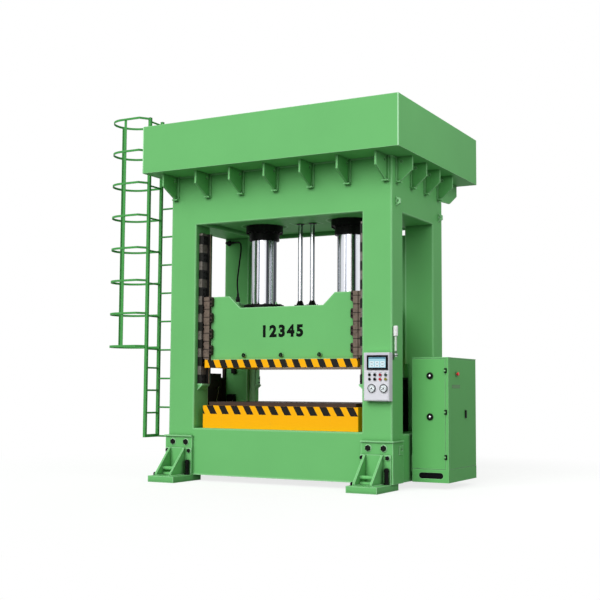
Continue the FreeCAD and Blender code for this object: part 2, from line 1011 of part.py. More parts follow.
def slide_body():
    front = -slide_half_depth
    core = block(-slide_half_width, slide_half_width, front, -front, slide_bottom, slide_top)
    pieces = [core]
    pieces.append(prism(slide_plate_outline(front), V(0, slide_plate, 0)))
    pieces.append(prism(slide_plate_outline(-front), V(0, -slide_plate, 0)))
    for side in (-1, 1):
        x0, x1 = sorted((side * slide_half_width, side * (slide_half_width - slide_side_wall)))
        pieces.append(block(x0, x1, front, -front, slide_top, slide_top + slide_side_rise))
        centre = side * rod_x
        pieces.append(upright(seat_radius, centre, 0, slide_top, seat_level))
        for toward in (-1, 1):
            inner = rod_radius + seat_rib_gap
            outline = [
                V(centre + toward * inner, -seat_rib_thickness / 2, seat_level),
                V(centre + toward * (inner + seat_rib_foot), -seat_rib_thickness / 2, seat_level),
                V(centre + toward * (inner + seat_rib_crest), -seat_rib_thickness / 2, seat_level + seat_rib_height),
                V(centre + toward * inner, -seat_rib_thickness / 2, seat_level + seat_rib_height),
            ]
            pieces.append(prism(outline, V(0, seat_rib_thickness, 0)))

    # block on the slide's left that the hose screws into
    half = port_size / 2
    port_top = slide_top + port_rise
    pieces.append(block(port_x - half + port_flat, port_x + half, port_y - half, port_y + half, slide_top, port_top))
    pieces.append(upright(port_nipple_radius, port_x, port_y, port_top, port_top + port_nipple_length))

    body = fused(pieces)
    eyes = []
    for step in (-1, 0, 1):
        x = eye_shift + step * eye_pitch
        z = slide_bottom + eye_height
        eyes.append(bar(eye_radius, V(x, front, z), V(x, front - eye_reach, z)))
    body = fused([body] + eyes)
    for step in (-1, 0, 1):
        x = eye_shift + step * eye_pitch
        z = slide_bottom + eye_height
        body = body.cut(bar(eye_bore_radius, V(x, front + eye_bore_depth, z), V(x, front - eye_reach - 1, z)))
    return body


def slide_platen():
    half_x = platen_half_width
    half_y = platen_half_depth
    return block(-half_x, half_x, -half_y, half_y, platen_bottom, slide_bottom)


# ---- Guides ----

def guide_rail():
    """The right front rail: a bar with raised blocks and a tongue behind it."""
    wall = window_half
    bar_face = wall - rail_bar_thickness
    front = -half_depth + rail_front_gap
    tongue_front = front + rail_bar_width
    tongue_back = tongue_front + rail_tongue_width
    top = rail_top
    pieces = [
        block(bar_face, wall, front, tongue_front, rail_level, top),
        block(wall - rail_tongue_reach, wall, tongue_front, tongue_back, rail_level, top),
    ]
    count = int((top - rail_level - rail_block_height) // rail_block_pitch) + 1
    for step in range(count):
        z = rail_level + step * rail_block_pitch
        pieces.append(block(bar_face - rail_block_proud, bar_face, front + rail_block_inset, tongue_front,
                            z, z + rail_block_height))
    return fused(pieces)


def slide_shoe():
    """The right front shoe: a strip on the slide's side, a wing in the rail's corner, and clamp blocks."""
    inner = slide_half_width
    outer = shoe_outer
    front = -platen_half_depth
    rail_front = -half_depth + rail_front_gap
    wing_tip = window_half - rail_bar_thickness - rail_block_proud - guide_clearance
    wing_back = rail_front + rail_bar_width - guide_clearance
    wing_front = -half_depth + shoe_wing_front
    top = slide_top + slide_ear_rise
    pieces = [
        block(inner, outer, front, front + shoe_depth, slide_bottom, top),
        block(outer, wing_tip, wing_front, wing_back, slide_bottom + shoe_wing_lift, top),
    ]
    for step in range(clamp_block_count):
        z = slide_bottom + clamp_block_first + step * clamp_block_pitch
        x0 = inner - clamp_block_width
        clamp = block(x0, inner, -slide_half_depth - clamp_block_depth, -slide_half_depth,
                      z, z + clamp_block_height)
        edges = edges_where(clamp, lambda a, b: near(a.x, x0) and near(b.x, x0) and near(a.z, b.z))
        pieces.append(clamp.makeChamfer(clamp_block_corner, edges))
    return fused(pieces)


def front_and_back(shape):
    """A piece and its twin mirrored to the back."""
    return group([shape, mirrored_y(shape)])


# ---- Bolster and guards ----

def bolster():
    half_x = bolster_half_width
    half_y = bolster_half_depth
    return block(-half_x, half_x, -half_y, half_y, floor_level, bolster_top)


def bolster_plate():
    half_x = bolster_half_width - bolster_plate_inset
    half_y = bolster_half_depth - bolster_plate_inset
    return block(-half_x, half_x, -half_y, half_y, bolster_top, table_level)


def side_guard(left_face):
    """A sheet between two posts on a side window's sill, with its stay."""
    sill = floor_level - side_sill_drop
    half = side_window_half
    top = sill + guard_height
    x0 = left_face
    pieces = [block(x0, x0 + guard_sheet, -half, half, sill, top)]
    for y0 in (-half, half - guard_post):
        pieces.append(block(x0, x0 + guard_post, y0, y0 + guard_post, sill, sill + guard_post_height))
    for z0 in (sill, top - guard_rail):
        pieces.append(block(x0, x0 + guard_post, -half, half, z0, z0 + guard_rail))
    stay_x = x0 + guard_post + guard_stay_radius
    low = V(stay_x, guard_stay_low_y, sill)
    high = V(stay_x, guard_stay_high_y, sill + guard_stay_rise)
    pieces.append(bar(guard_stay_radius, low + V(0, 0, guard_stay_lift), high))
    knob_start = high - V(guard_post + guard_stay_radius, 0, 0)
    pieces.append(bar(guard_knob_radius, knob_start, high + V(guard_knob_end, 0, 0)))
    shoe_half = guard_stay_shoe / 2
    pieces.append(block(x0 + guard_sheet, stay_x + guard_stay_shoe_margin, guard_stay_low_y - shoe_half,
                        guard_stay_low_y + shoe_half, sill, sill + guard_rail + guard_stay_shoe_rise))
    return fused(pieces)


# ---- Ladder ----

def hoop_level(step):
    """Hoops counted from the ladder's top."""
    return ladder_top - step * hoop_pitch


def ladder():
    x = -half_width - ladder_distance
    half = ladder_rail / 2
    rails = [ladder_centre_y - ladder_spacing / 2, ladder_centre_y + ladder_spacing / 2]
    pieces = []
    for y in rails:
        pieces.append(block(x - half, x + half, y - half, y + half, ladder_bottom, ladder_top))
    levels = [hoop_level(step) - rung_below_hoop for step in range(hoop_count)]
    levels += [ladder_bottom + lower_rung_lift + step * lower_rung_pitch for step in range(1, lower_rung_count)]
    for z in levels:
        pieces.append(bar(rung_radius, V(x, rails[0], z), V(x, rails[1], z)))
    pieces.append(block(x - half, x + half, rails[0], rails[1], ladder_bottom, ladder_bottom + ladder_rail))
    standoff_count = int((frame_top - gusset_height - ladder_bottom) // standoff_pitch) + 1
    for step in range(standoff_count):
        z = ladder_bottom + standoff_first + step * standoff_pitch
        wall = -half_width if step else -half_width - cheek_thickness
        pieces.append(bar(standoff_radius, V(x, rails[1], z), V(wall, rails[1], z)))
    parapet_face = -half_width - overhang_left
    for step in range(parapet_tie_count):
        z = deck_top + parapet_tie_low + step * parapet_tie_pitch
        for y in rails:
            pieces.append(bar(standoff_radius, V(x, y, z), V(parapet_face, y, z)))
    return fused(pieces)


def hoop(z):
    """A flat bar that leaves one rail, runs round the climber and comes back to the other."""
    rail_x = -half_width - ladder_distance
    rail_side = ladder_spacing / 2 + ladder_rail / 2
    flare_x = rail_x - hoop_flare
    centre_x = rail_x - hoop_depth + hoop_radius
    outer = hoop_radius + hoop_bar / 2
    inner = hoop_radius - hoop_bar / 2
    slope = hoop_flare / (outer - rail_side)
    step_back = hoop_bar * math.hypot(hoop_flare, outer - rail_side) / (outer - rail_side)

    def spot(x, across):
        return V(x, ladder_centre_y + across, z)

    inner_flare_x = flare_x - step_back + slope * (outer - inner)
    edges = []
    outer_line = [spot(rail_x, rail_side), spot(flare_x, outer), spot(centre_x, outer)]
    inner_line = [spot(rail_x - step_back, rail_side), spot(inner_flare_x, inner), spot(centre_x, inner)]

    def opposite(point):
        return V(point.x, 2 * ladder_centre_y - point.y, point.z)

    for line, radius in ((outer_line, outer), (inner_line, inner)):
        edges += [Part.LineSegment(line[0], line[1]).toShape(), Part.LineSegment(line[1], line[2]).toShape()]
        extreme = spot(centre_x - radius, 0)
        edges.append(Part.Arc(line[2], extreme, opposite(line[2])).toShape())
        far = [opposite(point) for point in line]
        edges += [Part.LineSegment(far[2], far[1]).toShape(), Part.LineSegment(far[1], far[0]).toShape()]
    edges.append(Part.LineSegment(outer_line[0], inner_line[0]).toShape())
    edges.append(Part.LineSegment(opposite(outer_line[0]), opposite(inner_line[0])).toShape())
    outline = Part.Wire(Part.__sortEdges__(edges))
    return Part.Face(outline).extrude(V(0, 0, hoop_height))


def ladder_cage():
    levels = [hoop_level(step) - hoop_height for step in range(hoop_count)]
    hoops = [hoop(z) for z in levels]
    rail_x = -half_width - ladder_distance
    centre_x = rail_x - hoop_depth + hoop_radius
    low = levels[-1]
    high = levels[0] + hoop_height
    inner = hoop_radius - hoop_bar / 2

    # straps inside the hoops: one on the round end and one on the front straight
    strap = block(-inner - 1, -inner + strap_thickness, -strap_width / 2, strap_width / 2, low, high)
    strap.rotate(V(0, 0, 0), V(0, 0, 1), -strap_turn)
    strap.translate(V(centre_x, ladder_centre_y, 0))
    front_y = ladder_centre_y - inner
    front_strap_x = centre_x + strap_straight
    front_strap = block(front_strap_x - strap_width / 2, front_strap_x + strap_width / 2,
                        front_y - 1, front_y + strap_thickness, low, high)
    return fused(hoops + [strap, front_strap])


# ---- Operator box ----

def button_place(column, row):
    """Centre of a button on the box's front."""
    return V(box_left + button_first + column * button_pitch, box_front,
             box_bottom + button_row_low + row * button_row_step)


def gauge_place(column):
    return V(box_left + gauge_first + column * gauge_pitch, box_front, box_bottom + gauge_low)


def control_box():
    right = box_left + box_width
    top = box_bottom + box_height
    body = block(box_left, right, box_front, -half_depth, box_bottom, top)
    front_edges = edges_where(body, lambda a, b: near(a.y, box_front) and near(b.y, box_front))
    body = body.makeChamfer(box_bevel, front_edges)
    rings = []
    bores = []
    for column in range(4):
        for row in range(2):
            centre = button_place(column, row)
            outer = button_radius + button_ring
            rings.append(bar(outer, centre, centre - V(0, button_ring_height, 0)))
            bores.append(bar(button_stem_radius + stem_clearance, centre - V(0, button_ring_height + 1, 0),
                             centre + V(0, button_bore_depth, 0)))
    body = fused([body] + rings)
    return body.cut(fused_loose(bores))


def push_button(column, row):
    """A button cap on its stem, standing off the ring by its travel."""
    centre = button_place(column, row)
    back = centre - V(0, button_ring_height + button_travel + button_gap, 0)
    cap = bar(button_radius, back, back - V(0, button_height, 0))
    stem = bar(button_stem_radius, back, centre + V(0, button_stem_length, 0))
    return fused([cap, stem])


def selector(row):
    """A knob with a grip bar that turns between positions."""
    centre = button_place(0, row)
    back = centre - V(0, button_ring_height + button_gap, 0)
    disc = bar(button_radius, back, back - V(0, selector_disc_height, 0))
    grip = block(centre.x - selector_bar / 2, centre.x + selector_bar / 2,
                 back.y - selector_grip_high, back.y - selector_grip_low,
                 centre.z - selector_grip_half, centre.z + selector_grip_half)
    stem = bar(button_stem_radius, back, centre + V(0, button_stem_length, 0))
    return fused([disc, grip, stem])


def gauge(column):
    """A round case with a sunken dial."""
    centre = gauge_place(column)
    front = centre - V(0, gauge_depth, 0)
    case = bar(gauge_radius, centre, front)
    dial = front + V(0, gauge_recess, 0)
    case = case.cut(bar(gauge_radius - gauge_rim, front - V(0, 1, 0), dial))
    bore = bar(needle_stem_radius + stem_clearance, dial - V(0, 1, 0), dial + V(0, needle_stem_length + 1, 0))
    return case.cut(bore)


def needle(column):
    """A pointer on its stem, at rest pointing down and to the left."""
    centre = gauge_place(column)
    dial = centre - V(0, gauge_depth - gauge_recess, 0)
    back = dial - V(0, needle_lift, 0)
    hub = bar(needle_hub_radius, back, back - V(0, needle_thickness * 2, 0))
    stem = bar(needle_stem_radius, back, dial + V(0, needle_stem_length - 1, 0))
    half = needle_width / 2
    pointer = prism(
        [V(back.x - half, back.y, back.z - needle_tail), V(back.x + half, back.y, back.z - needle_tail),
         V(back.x + half / 3, back.y, back.z + needle_length), V(back.x - half / 3, back.y, back.z + needle_length)],
        V(0, -needle_thickness, 0),
    )
    pointer.rotate(back, V(0, 1, 0), needle_rest_turn)
    return fused([hub, stem, pointer])


def hmi_panel():
    """The screen's frame, its glass let in a little."""
    x0 = box_left + screen_left
    z0 = box_bottom + screen_low
    x1 = x0 + screen_width
    z1 = z0 + screen_height
    front = box_front - screen_depth
    body = block(x0, x1, front, box_front, z0, z1)
    edges = edges_where(body, lambda a, b: near(a.y, front) and near(b.y, front))
    body = body.makeChamfer(screen_bevel, edges)
    return body.cut(block(x0 + screen_margin, x1 - screen_margin, front - 1, front + screen_recess,
                          z0 + screen_margin, z1 - screen_margin))


# ---- Signal lamp ----

def beacon_pole():
    x = half_width + beacon_out
    z = beacon_bracket_level
    half = beacon_bracket_width / 2
    y0 = beacon_y - half
    y1 = beacon_y + half
    top = z + beacon_bracket_thickness
    shelf = block(half_width, x + half, y0, y1, z, top)
    plate = block(half_width, half_width + beacon_plate_thickness, y0, y1, z - beacon_plate_drop, top)
    stem = upright(beacon_stem_radius, x, beacon_y, top, top + beacon_stem_length)
    base = upright(beacon_stem_radius + beacon_collar, x, beacon_y, top, top + beacon_collar_height)
    return fused([shelf, plate, stem, base])


def beacon_lamp():
    x = half_width + beacon_out
    low = beacon_bracket_level + beacon_bracket_thickness + beacon_stem_length
    top = low + beacon_lamp_height
    radius = beacon_lamp_radius
    profile = [
        (0, low),
        (radius - beacon_foot_taper, low),
        (radius, low + beacon_foot_height),
        (radius, top - beacon_cap),
        (radius - beacon_cap_taper, top),
        (0, top),
    ]
    return turned(profile, x, beacon_y)


# ---- Electrical cabinet ----

def rounded_slot(x0, x1, y0, y1, z0, z1):
    """A slot with round ends, cut along Y."""
    radius = (z1 - z0) / 2
    middle = (z0 + z1) / 2
    straight = block(x0 + radius, x1 - radius, y0, y1, z0, z1)
    ends = [bar(radius, V(x, y0, middle), V(x, y1, middle)) for x in (x0 + radius, x1 - radius)]
    return fused([straight] + ends)


def cabinet_body():
    left, right = cabinet_left, cabinet_right
    front, back = cabinet_front, cabinet_back
    bottom, top = cabinet_bottom, cabinet_top
    wall = cabinet_wall
    inner_front = front + cabinet_door + door_seal_gap
    inner_right = right - cabinet_door
    plinth_top = bottom + cabinet_plinth
    pieces = [
        block(left, left + wall, inner_front, back, bottom, top),
        block(left, inner_right - door_gap, back - wall, back, bottom, top),
        block(left, right, front, back, bottom, bottom + wall),
        block(left, right, front, back, top - wall, top),
        block(left, right, front, front + wall, bottom, plinth_top),
        block(inner_right, right, front, back, bottom, plinth_top),
        block(post_left, right, front, front + cabinet_post_depth, bottom, top),
        block(left, inner_right, back - wall, back, bottom, plinth_top),
    ]

    # brackets to the frame's side, and the mounting plate with its rows of gear
    for y0 in (cabinet_front + bracket_setback, side_window_half - bracket_setback - cabinet_bracket_width):
        z0 = bottom + cabinet_bracket_low
        pieces.append(block(half_width, left, y0, y0 + cabinet_bracket_width, z0, z0 + cabinet_bracket_height))
    z0 = bottom + cabinet_bracket_high
    y0 = side_window_half + bracket_over_window
    pieces.append(block(half_width, left, y0, y0 + cabinet_bracket_width, z0, z0 + cabinet_bracket_height))
    plate_back = back - wall - mounting_plate_gap
    plate_front = plate_back - mounting_plate_thickness
    plate_left, plate_right = left + mounting_plate_margin, inner_right - mounting_plate_margin
    plate_low, plate_high = plinth_top + mounting_plate_low, top - mounting_plate_high
    pieces.append(block(plate_left, plate_right, plate_front, plate_back, plate_low, plate_high))
    for x in (plate_left + mounting_pin_inset, plate_right - mounting_pin_inset):
        for z in (plate_low + mounting_pin_rise, plate_high - mounting_pin_rise):
            pieces.append(bar(mounting_pin_radius, V(x, plate_back, z), V(x, back - wall, z)))
    row_left, row_right = plate_left + gear_row_margin, plate_right - gear_row_margin
    for step in range(gear_row_count):
        z = plinth_top + gear_row_first + step * gear_row_pitch
        pieces.append(block(row_left, row_right, plate_front - gear_row_depth, plate_front, z, z + gear_row_height))
    body = fused(pieces)
    vent = rounded_slot(left + vent_left, left + vent_left + vent_width, front - 1, front + wall + 1,
                        bottom + vent_low, bottom + vent_low + vent_height)
    body = body.cut(vent)
    body = body.cut(upright(pivot_pin_radius + stem_clearance, pivot_x, pivot_y, plinth_top - 12, plinth_top + 1))
    return body.cut(upright(pivot_pin_radius + stem_clearance, pivot_x, pivot_y, top - wall - 1, top - 2))


def hinge_levels():
    return [cabinet_bottom + level for level in (hinge_low, hinge_middle, hinge_high)]


def fixed_hinge(z):
    """The post's half of a hinge: leaf, two knuckles and the pin."""
    third = hinge_height / 3
    leaf_left = hinge_x + 2
    leaf_front = cabinet_front - hinge_leaf
    leaf = block(leaf_left, leaf_left + hinge_leaf_width, leaf_front, cabinet_front, z, z + hinge_height)
    pieces = [leaf, upright(hinge_pin_radius, hinge_x, hinge_y, z, z + hinge_height)]
    for low in (z, z + 2 * third):
        pieces.append(upright(hinge_radius, hinge_x, hinge_y, low, low + third))
        pieces.append(block(leaf_left, hinge_x + hinge_radius, hinge_y, leaf_front, low, low + third))
    return fused(pieces)


def cabinet_front_door():
    inner = cabinet_front + cabinet_door
    body = block(cabinet_left, post_left - door_gap, cabinet_front, inner, door_bottom, door_top)
    third = hinge_height / 3
    pieces = [body]
    for z in hinge_levels():
        low, high = z + third + 0.5, z + 2 * third - 0.5
        pieces.append(upright(hinge_radius, hinge_x, hinge_y, low, high))
        pieces.append(block(hinge_x - hinge_radius, hinge_x - 3, hinge_y, cabinet_front, low, high))
        pieces.append(block(hinge_x - 2 - hinge_leaf_width, hinge_x - 3, cabinet_front - hinge_leaf, cabinet_front,
                            low, high))
    body = fused(pieces)
    for z in hinge_levels():
        body = body.cut(upright(hinge_pin_radius + stem_clearance, hinge_x, hinge_y, z, z + hinge_height))
    for level in (lock_low, lock_high):
        centre = V(cabinet_left + lock_x, cabinet_front, cabinet_bottom + level)
        behind = centre + V(0, cabinet_door + 1, 0)
        body = body.cut(bar(lock_stem_radius + stem_clearance, centre - V(0, 1, 0), behind))
    return body


def cabinet_side_door():
    """The door on the cabinet's side, its back edge rounded about its pivot pins."""
    outer = cabinet_right
    inner = cabinet_right - cabinet_door
    near_edge = cabinet_front + cabinet_post_depth + door_gap
    panel = block(inner, outer, near_edge, pivot_y, door_bottom, door_top)
    edge = upright(cabinet_door / 2, pivot_x, pivot_y, door_bottom, door_top)
    low_pin = upright(pivot_pin_radius, pivot_x, pivot_y, door_bottom - pivot_pin_length, door_bottom)
    high_pin = upright(pivot_pin_radius, pivot_x, pivot_y, door_top, door_top + pivot_pin_length)
    pilot = estop_place() + V(0, pilot_spacing, 0)
    collar = bar(estop_collar_radius, estop_place(), estop_place() + V(estop_collar_height, 0, 0))
    body = fused([panel, edge, low_pin, high_pin, collar, bar(pilot_radius, pilot, pilot + V(pilot_height, 0, 0))])
    through = V(cabinet_door + 1, 0, 0)
    body = body.cut(bar(estop_stem_radius + stem_clearance, estop_place() - through,
                        estop_place() + V(estop_collar_height + 1, 0, 0)))
    return body.cut(bar(handle_stem_radius + stem_clearance, handle_place() - through, handle_place() + V(1, 0, 0)))


def estop_place():
    return V(cabinet_right, cabinet_front + estop_y, cabinet_bottom + estop_level)


def handle_place():
    """The pivot of the side door's handle, near the handle's top."""
    level = handle_low + handle_length - handle_width / 2
    return V(cabinet_right, cabinet_front + handle_y, cabinet_bottom + level)


def estop_button():
    """A mushroom head on its stem."""
    seat = estop_place() + V(estop_collar_height + estop_travel + 1, 0, 0)
    neck = bar(estop_neck_radius, seat, seat + V(estop_neck_length, 0, 0))
    head = bar(estop_radius, seat + V(estop_head_back, 0, 0), seat + V(estop_height, 0, 0))
    rim = [edge for edge in head.Edges if near(edge.BoundBox.XMin, seat.x + estop_height)]
    head = head.makeChamfer(estop_bevel, rim)
    stem = bar(estop_stem_radius, estop_place() - V(cabinet_door - stem_end_gap, 0, 0), seat)
    return fused([neck, head, stem])


def door_handle():
    """A paddle that hangs from its pivot."""
    pivot = handle_place()
    out = V(handle_stand, 0, 0)
    half = handle_width / 2
    low = pivot.z + half - handle_length
    paddle = block(pivot.x + handle_stand, pivot.x + handle_stand + handle_thickness,
                   pivot.y - half, pivot.y + half, low, pivot.z + half)
    edges = edges_where(paddle, lambda a, b: not near(a.x, b.x) and near(a.y, b.y) and near(a.z, b.z))
    paddle = paddle.makeFillet(handle_corner, edges)
    boss = bar(half, pivot + V(seat_clearance, 0, 0), pivot + out)
    stem = bar(handle_stem_radius, pivot - V(cabinet_door - stem_end_gap, 0, 0), pivot + out)
    return fused([paddle, boss, stem])


def door_lock(level):
    """A round lock with its core, stem and the cam behind the door."""
    centre = V(cabinet_left + lock_x, cabinet_front, cabinet_bottom + level)
    face = centre - V(0, seat_clearance, 0)
    ring = bar(lock_radius, face, face - V(0, lock_height, 0))
    core = bar(lock_core_radius, face, face - V(0, lock_height + lock_core_height, 0))
    core_face = face.y - lock_height - lock_core_height
    key = block(centre.x - lock_slot_width / 2, centre.x + lock_slot_width / 2, core_face - 1, face.y - lock_height,
                centre.z - lock_slot_half_length, centre.z + lock_slot_half_length)
    cam_front = cabinet_front + cabinet_door + 1
    stem = bar(lock_stem_radius, face, V(centre.x, cam_front, centre.z))
    cam = block(centre.x - lock_cam_width / 2, centre.x + lock_cam_width / 2, cam_front,
                cam_front + lock_cam_thickness, centre.z - lock_cam_width / 2, centre.z + lock_cam_length)
    return fused([ring, core, stem, cam]).cut(key)


# ---- Oil equipment on the platform ----

def oil_tank():
    half_x = half_width - tank_side_gap
    y0, y1 = tank_y - tank_depth / 2, tank_y + tank_depth / 2
    top = deck_top + tank_height
    body = block(-half_x, half_x, y0, y1, deck_top, top)
    margin = tank_lid_margin
    lid = block(-half_x - margin, half_x + margin, y0 - margin, y1 + margin, top, top + tank_lid)
    filler = upright(tank_filler_radius, tank_filler_x, tank_y, top + tank_lid, top + tank_lid + tank_filler_height)
    return fused([body, lid, filler])


def motor_pump():
    """The right set: a motor on feet, a flange and the pump, in line along X."""
    z = deck_top + motor_centre_height
    motor = bar(motor_radius, V(motor_x, motor_y, z), V(motor_x + motor_length, motor_y, z))
    flange = bar(pump_flange_radius, V(motor_x - pump_flange_length, motor_y, z), V(motor_x, motor_y, z))
    pump_start = motor_x - pump_flange_length
    pump = bar(pump_radius, V(pump_start - pump_length, motor_y, z), V(pump_start, motor_y, z))
    half = motor_foot_width / 2
    foot_top = deck_top + motor_foot_thickness
    base = block(motor_x + motor_foot_inset, motor_x + motor_length - motor_foot_inset,
                 motor_y - half, motor_y + half, deck_top, foot_top)
    web_half = motor_web_width / 2
    web = block(motor_x + motor_web_inset, motor_x + motor_length - motor_web_inset,
                motor_y - web_half, motor_y + web_half, foot_top, z - motor_radius / 2)
    terminal_x = motor_x + terminal_from_end
    terminal = block(terminal_x, terminal_x + terminal_size, motor_y - terminal_size / 2,
                     motor_y + terminal_size / 2, z, z + motor_radius + terminal_rise)
    return fused([motor, flange, pump, base, web, terminal])


def valve_manifold():
    half_x = manifold_width / 2
    half_y = manifold_depth / 2
    top = deck_top + manifold_height
    pieces = [block(-half_x, half_x, manifold_y - half_y, manifold_y + half_y, deck_top, top)]
    for x in spread(valve_count, manifold_width / valve_count):
        pieces.append(block(x - valve_width / 2, x + valve_width / 2, manifold_y - half_y + valve_margin,
                            manifold_y + half_y - valve_margin, top, top + valve_height))
    return fused(pieces)


# ---- Hose ----

def hose_union():
    """An elbow on the back left column: a boss on the wall and a nozzle along X."""
    wall = side_window_half
    boss = bar(union_radius, V(union_x, wall, union_level), V(union_x, wall - union_length, union_level))
    y = wall - union_length + union_radius
    nozzle = bar(nozzle_radius, V(union_x, y, union_level), V(union_x + nozzle_length, y, union_level))
    return fused([boss, nozzle])


def junction_box():
    """The larger and the smaller box on the back left column's front face."""
    wall = side_window_half
    boxes = []
    for x, z, width, height, depth in (
        (junction_x, junction_level, junction_width, junction_height, junction_depth),
        (outlet_x, outlet_level, outlet_width, outlet_height, outlet_depth),
    ):
        body = block(x - width / 2, x + width / 2, wall - depth, wall, z - height / 2, z + height / 2)
        front = wall - depth
        rim = edges_where(body, lambda a, b: near(a.y, front) and near(b.y, front))
        body = body.makeChamfer(small_box_bevel, rim)
        boxes.append(body)
    return group(boxes)


def hose_route():
    """The hose's points, from the elbow's nozzle to the slide's port."""
    start = V(union_x + nozzle_length, side_window_half - union_length + union_radius, union_level)
    end = V(port_x, port_y, slide_top + port_rise + port_nipple_length)
    return [
        start,
        start + V(105, 0, 0),
        start + V(214, -60, -14),
        start + V(300, -140, -68),
        start + V(360, -218, -160),
        start + V(394, -290, -285),
        start + V(420, -366, -440),
        end + V(-52, 110, 285),
        end + V(-24, 43, 160),
        end + V(0, 0, hose_run),
        end,
    ]


def tangent_path(points):
    """Straight runs joined by arcs that are as large as both runs allow."""
    edges = []
    radii = []
    start = points[0]
    for before, corner, after in zip(points, points[1:], points[2:]):
        to_before = (before - corner).normalize()
        to_after = (after - corner).normalize()
        shorter = min((before - corner).Length, (after - corner).Length)
        turn = math.pi - to_before.getAngle(to_after)
        set_back = 0.45 * shorter
        radius = set_back / math.tan(turn / 2)
        radii.append(radius)
        enter = corner + to_before * set_back
        leave = corner + to_after * set_back
        bisector = (to_before + to_after).normalize()
        reach = math.hypot(radius, set_back)
        middle = corner + bisector * (reach - radius)
        edges.append(Part.LineSegment(start, enter).toShape())
        edges.append(Part.Arc(enter, middle, leave).toShape())
        start = leave
    edges.append(Part.LineSegment(start, points[-1]).toShape())
    return Part.Wire(edges), radii


def hose():
    path, radii = tangent_path(hose_route())
    first = path.Edges[0]
    direction = first.tangentAt(first.FirstParameter)
    ring = Part.Wire(Part.makeCircle(hose_radius, hose_route()[0], direction))
    tube = path.makePipeShell([ring], True, False)
    expected = math.pi * hose_radius ** 2 * path.Length
    print("hose length", round(path.Length), "volume share", round(tube.Volume / expected, 4))
    print("hose bend radii", [round(radius) for radius in radii])
    return tube


# ---- All the pieces ----

def build():
    parts["welded_frame"] = welded_frame()
    feet = both_ends(foot)
    names = ("foot_front_left", "foot_front_right", "foot_back_right", "foot_back_left")
    for name, shape in zip(names, feet):
        parts[name] = shape
    parts["foot_bolts"] = group([bolt for fan in both_ends(foot_bolts) for bolt in fan.Solids])
    parts["anchor_studs"] = group([piece for fan in both_ends(anchor_studs) for piece in fan.Solids])
    parts["top_platform"] = top_platform()
    rail = guide_rail()
    shoe = slide_shoe()
    for side, word in ((-1, "left"), (1, "right")):
        parts["main_cylinder_" + word] = main_cylinder(side * rod_x)
        parts["cylinder_gland_" + word] = cylinder_gland(side * rod_x)
        parts["piston_rod_" + word] = piston_rod(side * rod_x)
        parts["return_rod_" + word] = return_rod(side * return_x)
    parts["return_cylinders"] = return_cylinders()
    parts["slide_body"] = slide_body()
    parts["slide_platen"] = slide_platen()
    parts["guide_rails_right"] = front_and_back(rail)
    parts["guide_rails_left"] = front_and_back(mirrored_x(rail))
    parts["slide_shoes_right"] = front_and_back(shoe)
    parts["slide_shoes_left"] = front_and_back(mirrored_x(shoe))
    parts["bolster"] = bolster()
    parts["bolster_plate"] = bolster_plate()
    parts["side_guard_left"] = side_guard(-half_width)
    parts["side_guard_right"] = side_guard(window_half)
    parts["ladder"] = ladder()
    parts["ladder_cage"] = ladder_cage()
    parts["control_box"] = control_box()
    parts["hmi_panel"] = hmi_panel()
    for column, word in enumerate(("left", "right")):
        parts["gauge_" + word] = gauge(column)
        parts["needle_" + word] = needle(column)
    for row, word in enumerate(("lower", "upper")):
        parts["selector_" + word] = selector(row)
        for column in (1, 2, 3):
            parts["button_" + word + "_" + str(column)] = push_button(column, row)
    parts["beacon_pole"] = beacon_pole()
    parts["beacon_lamp"] = beacon_lamp()
    parts["cabinet_body"] = cabinet_body()
    parts["cabinet_hinges"] = group([fixed_hinge(z) for z in hinge_levels()])
    parts["cabinet_front_door"] = cabinet_front_door()
    parts["cabinet_side_door"] = cabinet_side_door()
    parts["estop_button"] = estop_button()
    parts["door_handle"] = door_handle()
    parts["lock_lower"] = door_lock(lock_low)
    parts["lock_upper"] = door_lock(lock_high)
    parts["oil_tank"] = oil_tank()
    parts["motor_pump_right"] = motor_pump()
    parts["motor_pump_left"] = mirrored_x(motor_pump())
    parts["valve_manifold"] = valve_manifold()
    parts["hose_union"] = hose_union()
    parts["junction_box"] = junction_box()
    parts["hose"] = hose()


build()
os.makedirs("parts", exist_ok=True)
for name, shape in parts.items():
    shape.exportStep("parts/" + name + ".step")
print(len(parts), "parts")
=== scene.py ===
import math

import bpy
import numpy as np
from mathutils import Matrix, Vector


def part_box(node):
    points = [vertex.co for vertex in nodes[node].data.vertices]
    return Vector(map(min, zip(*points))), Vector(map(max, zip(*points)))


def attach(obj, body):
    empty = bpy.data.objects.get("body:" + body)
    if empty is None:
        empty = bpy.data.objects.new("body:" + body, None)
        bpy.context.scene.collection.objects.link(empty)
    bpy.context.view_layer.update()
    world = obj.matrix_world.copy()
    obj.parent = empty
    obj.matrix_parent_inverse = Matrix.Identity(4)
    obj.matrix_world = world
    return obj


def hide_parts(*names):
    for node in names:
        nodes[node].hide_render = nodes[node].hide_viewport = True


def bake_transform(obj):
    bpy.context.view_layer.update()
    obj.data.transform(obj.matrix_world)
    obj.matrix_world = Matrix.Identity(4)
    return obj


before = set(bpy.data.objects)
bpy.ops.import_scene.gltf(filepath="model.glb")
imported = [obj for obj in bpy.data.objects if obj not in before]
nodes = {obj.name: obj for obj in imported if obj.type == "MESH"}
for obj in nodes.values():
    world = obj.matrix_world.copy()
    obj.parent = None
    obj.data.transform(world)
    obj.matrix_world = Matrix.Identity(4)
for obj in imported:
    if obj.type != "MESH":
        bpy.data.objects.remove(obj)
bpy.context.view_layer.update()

scene = bpy.context.scene

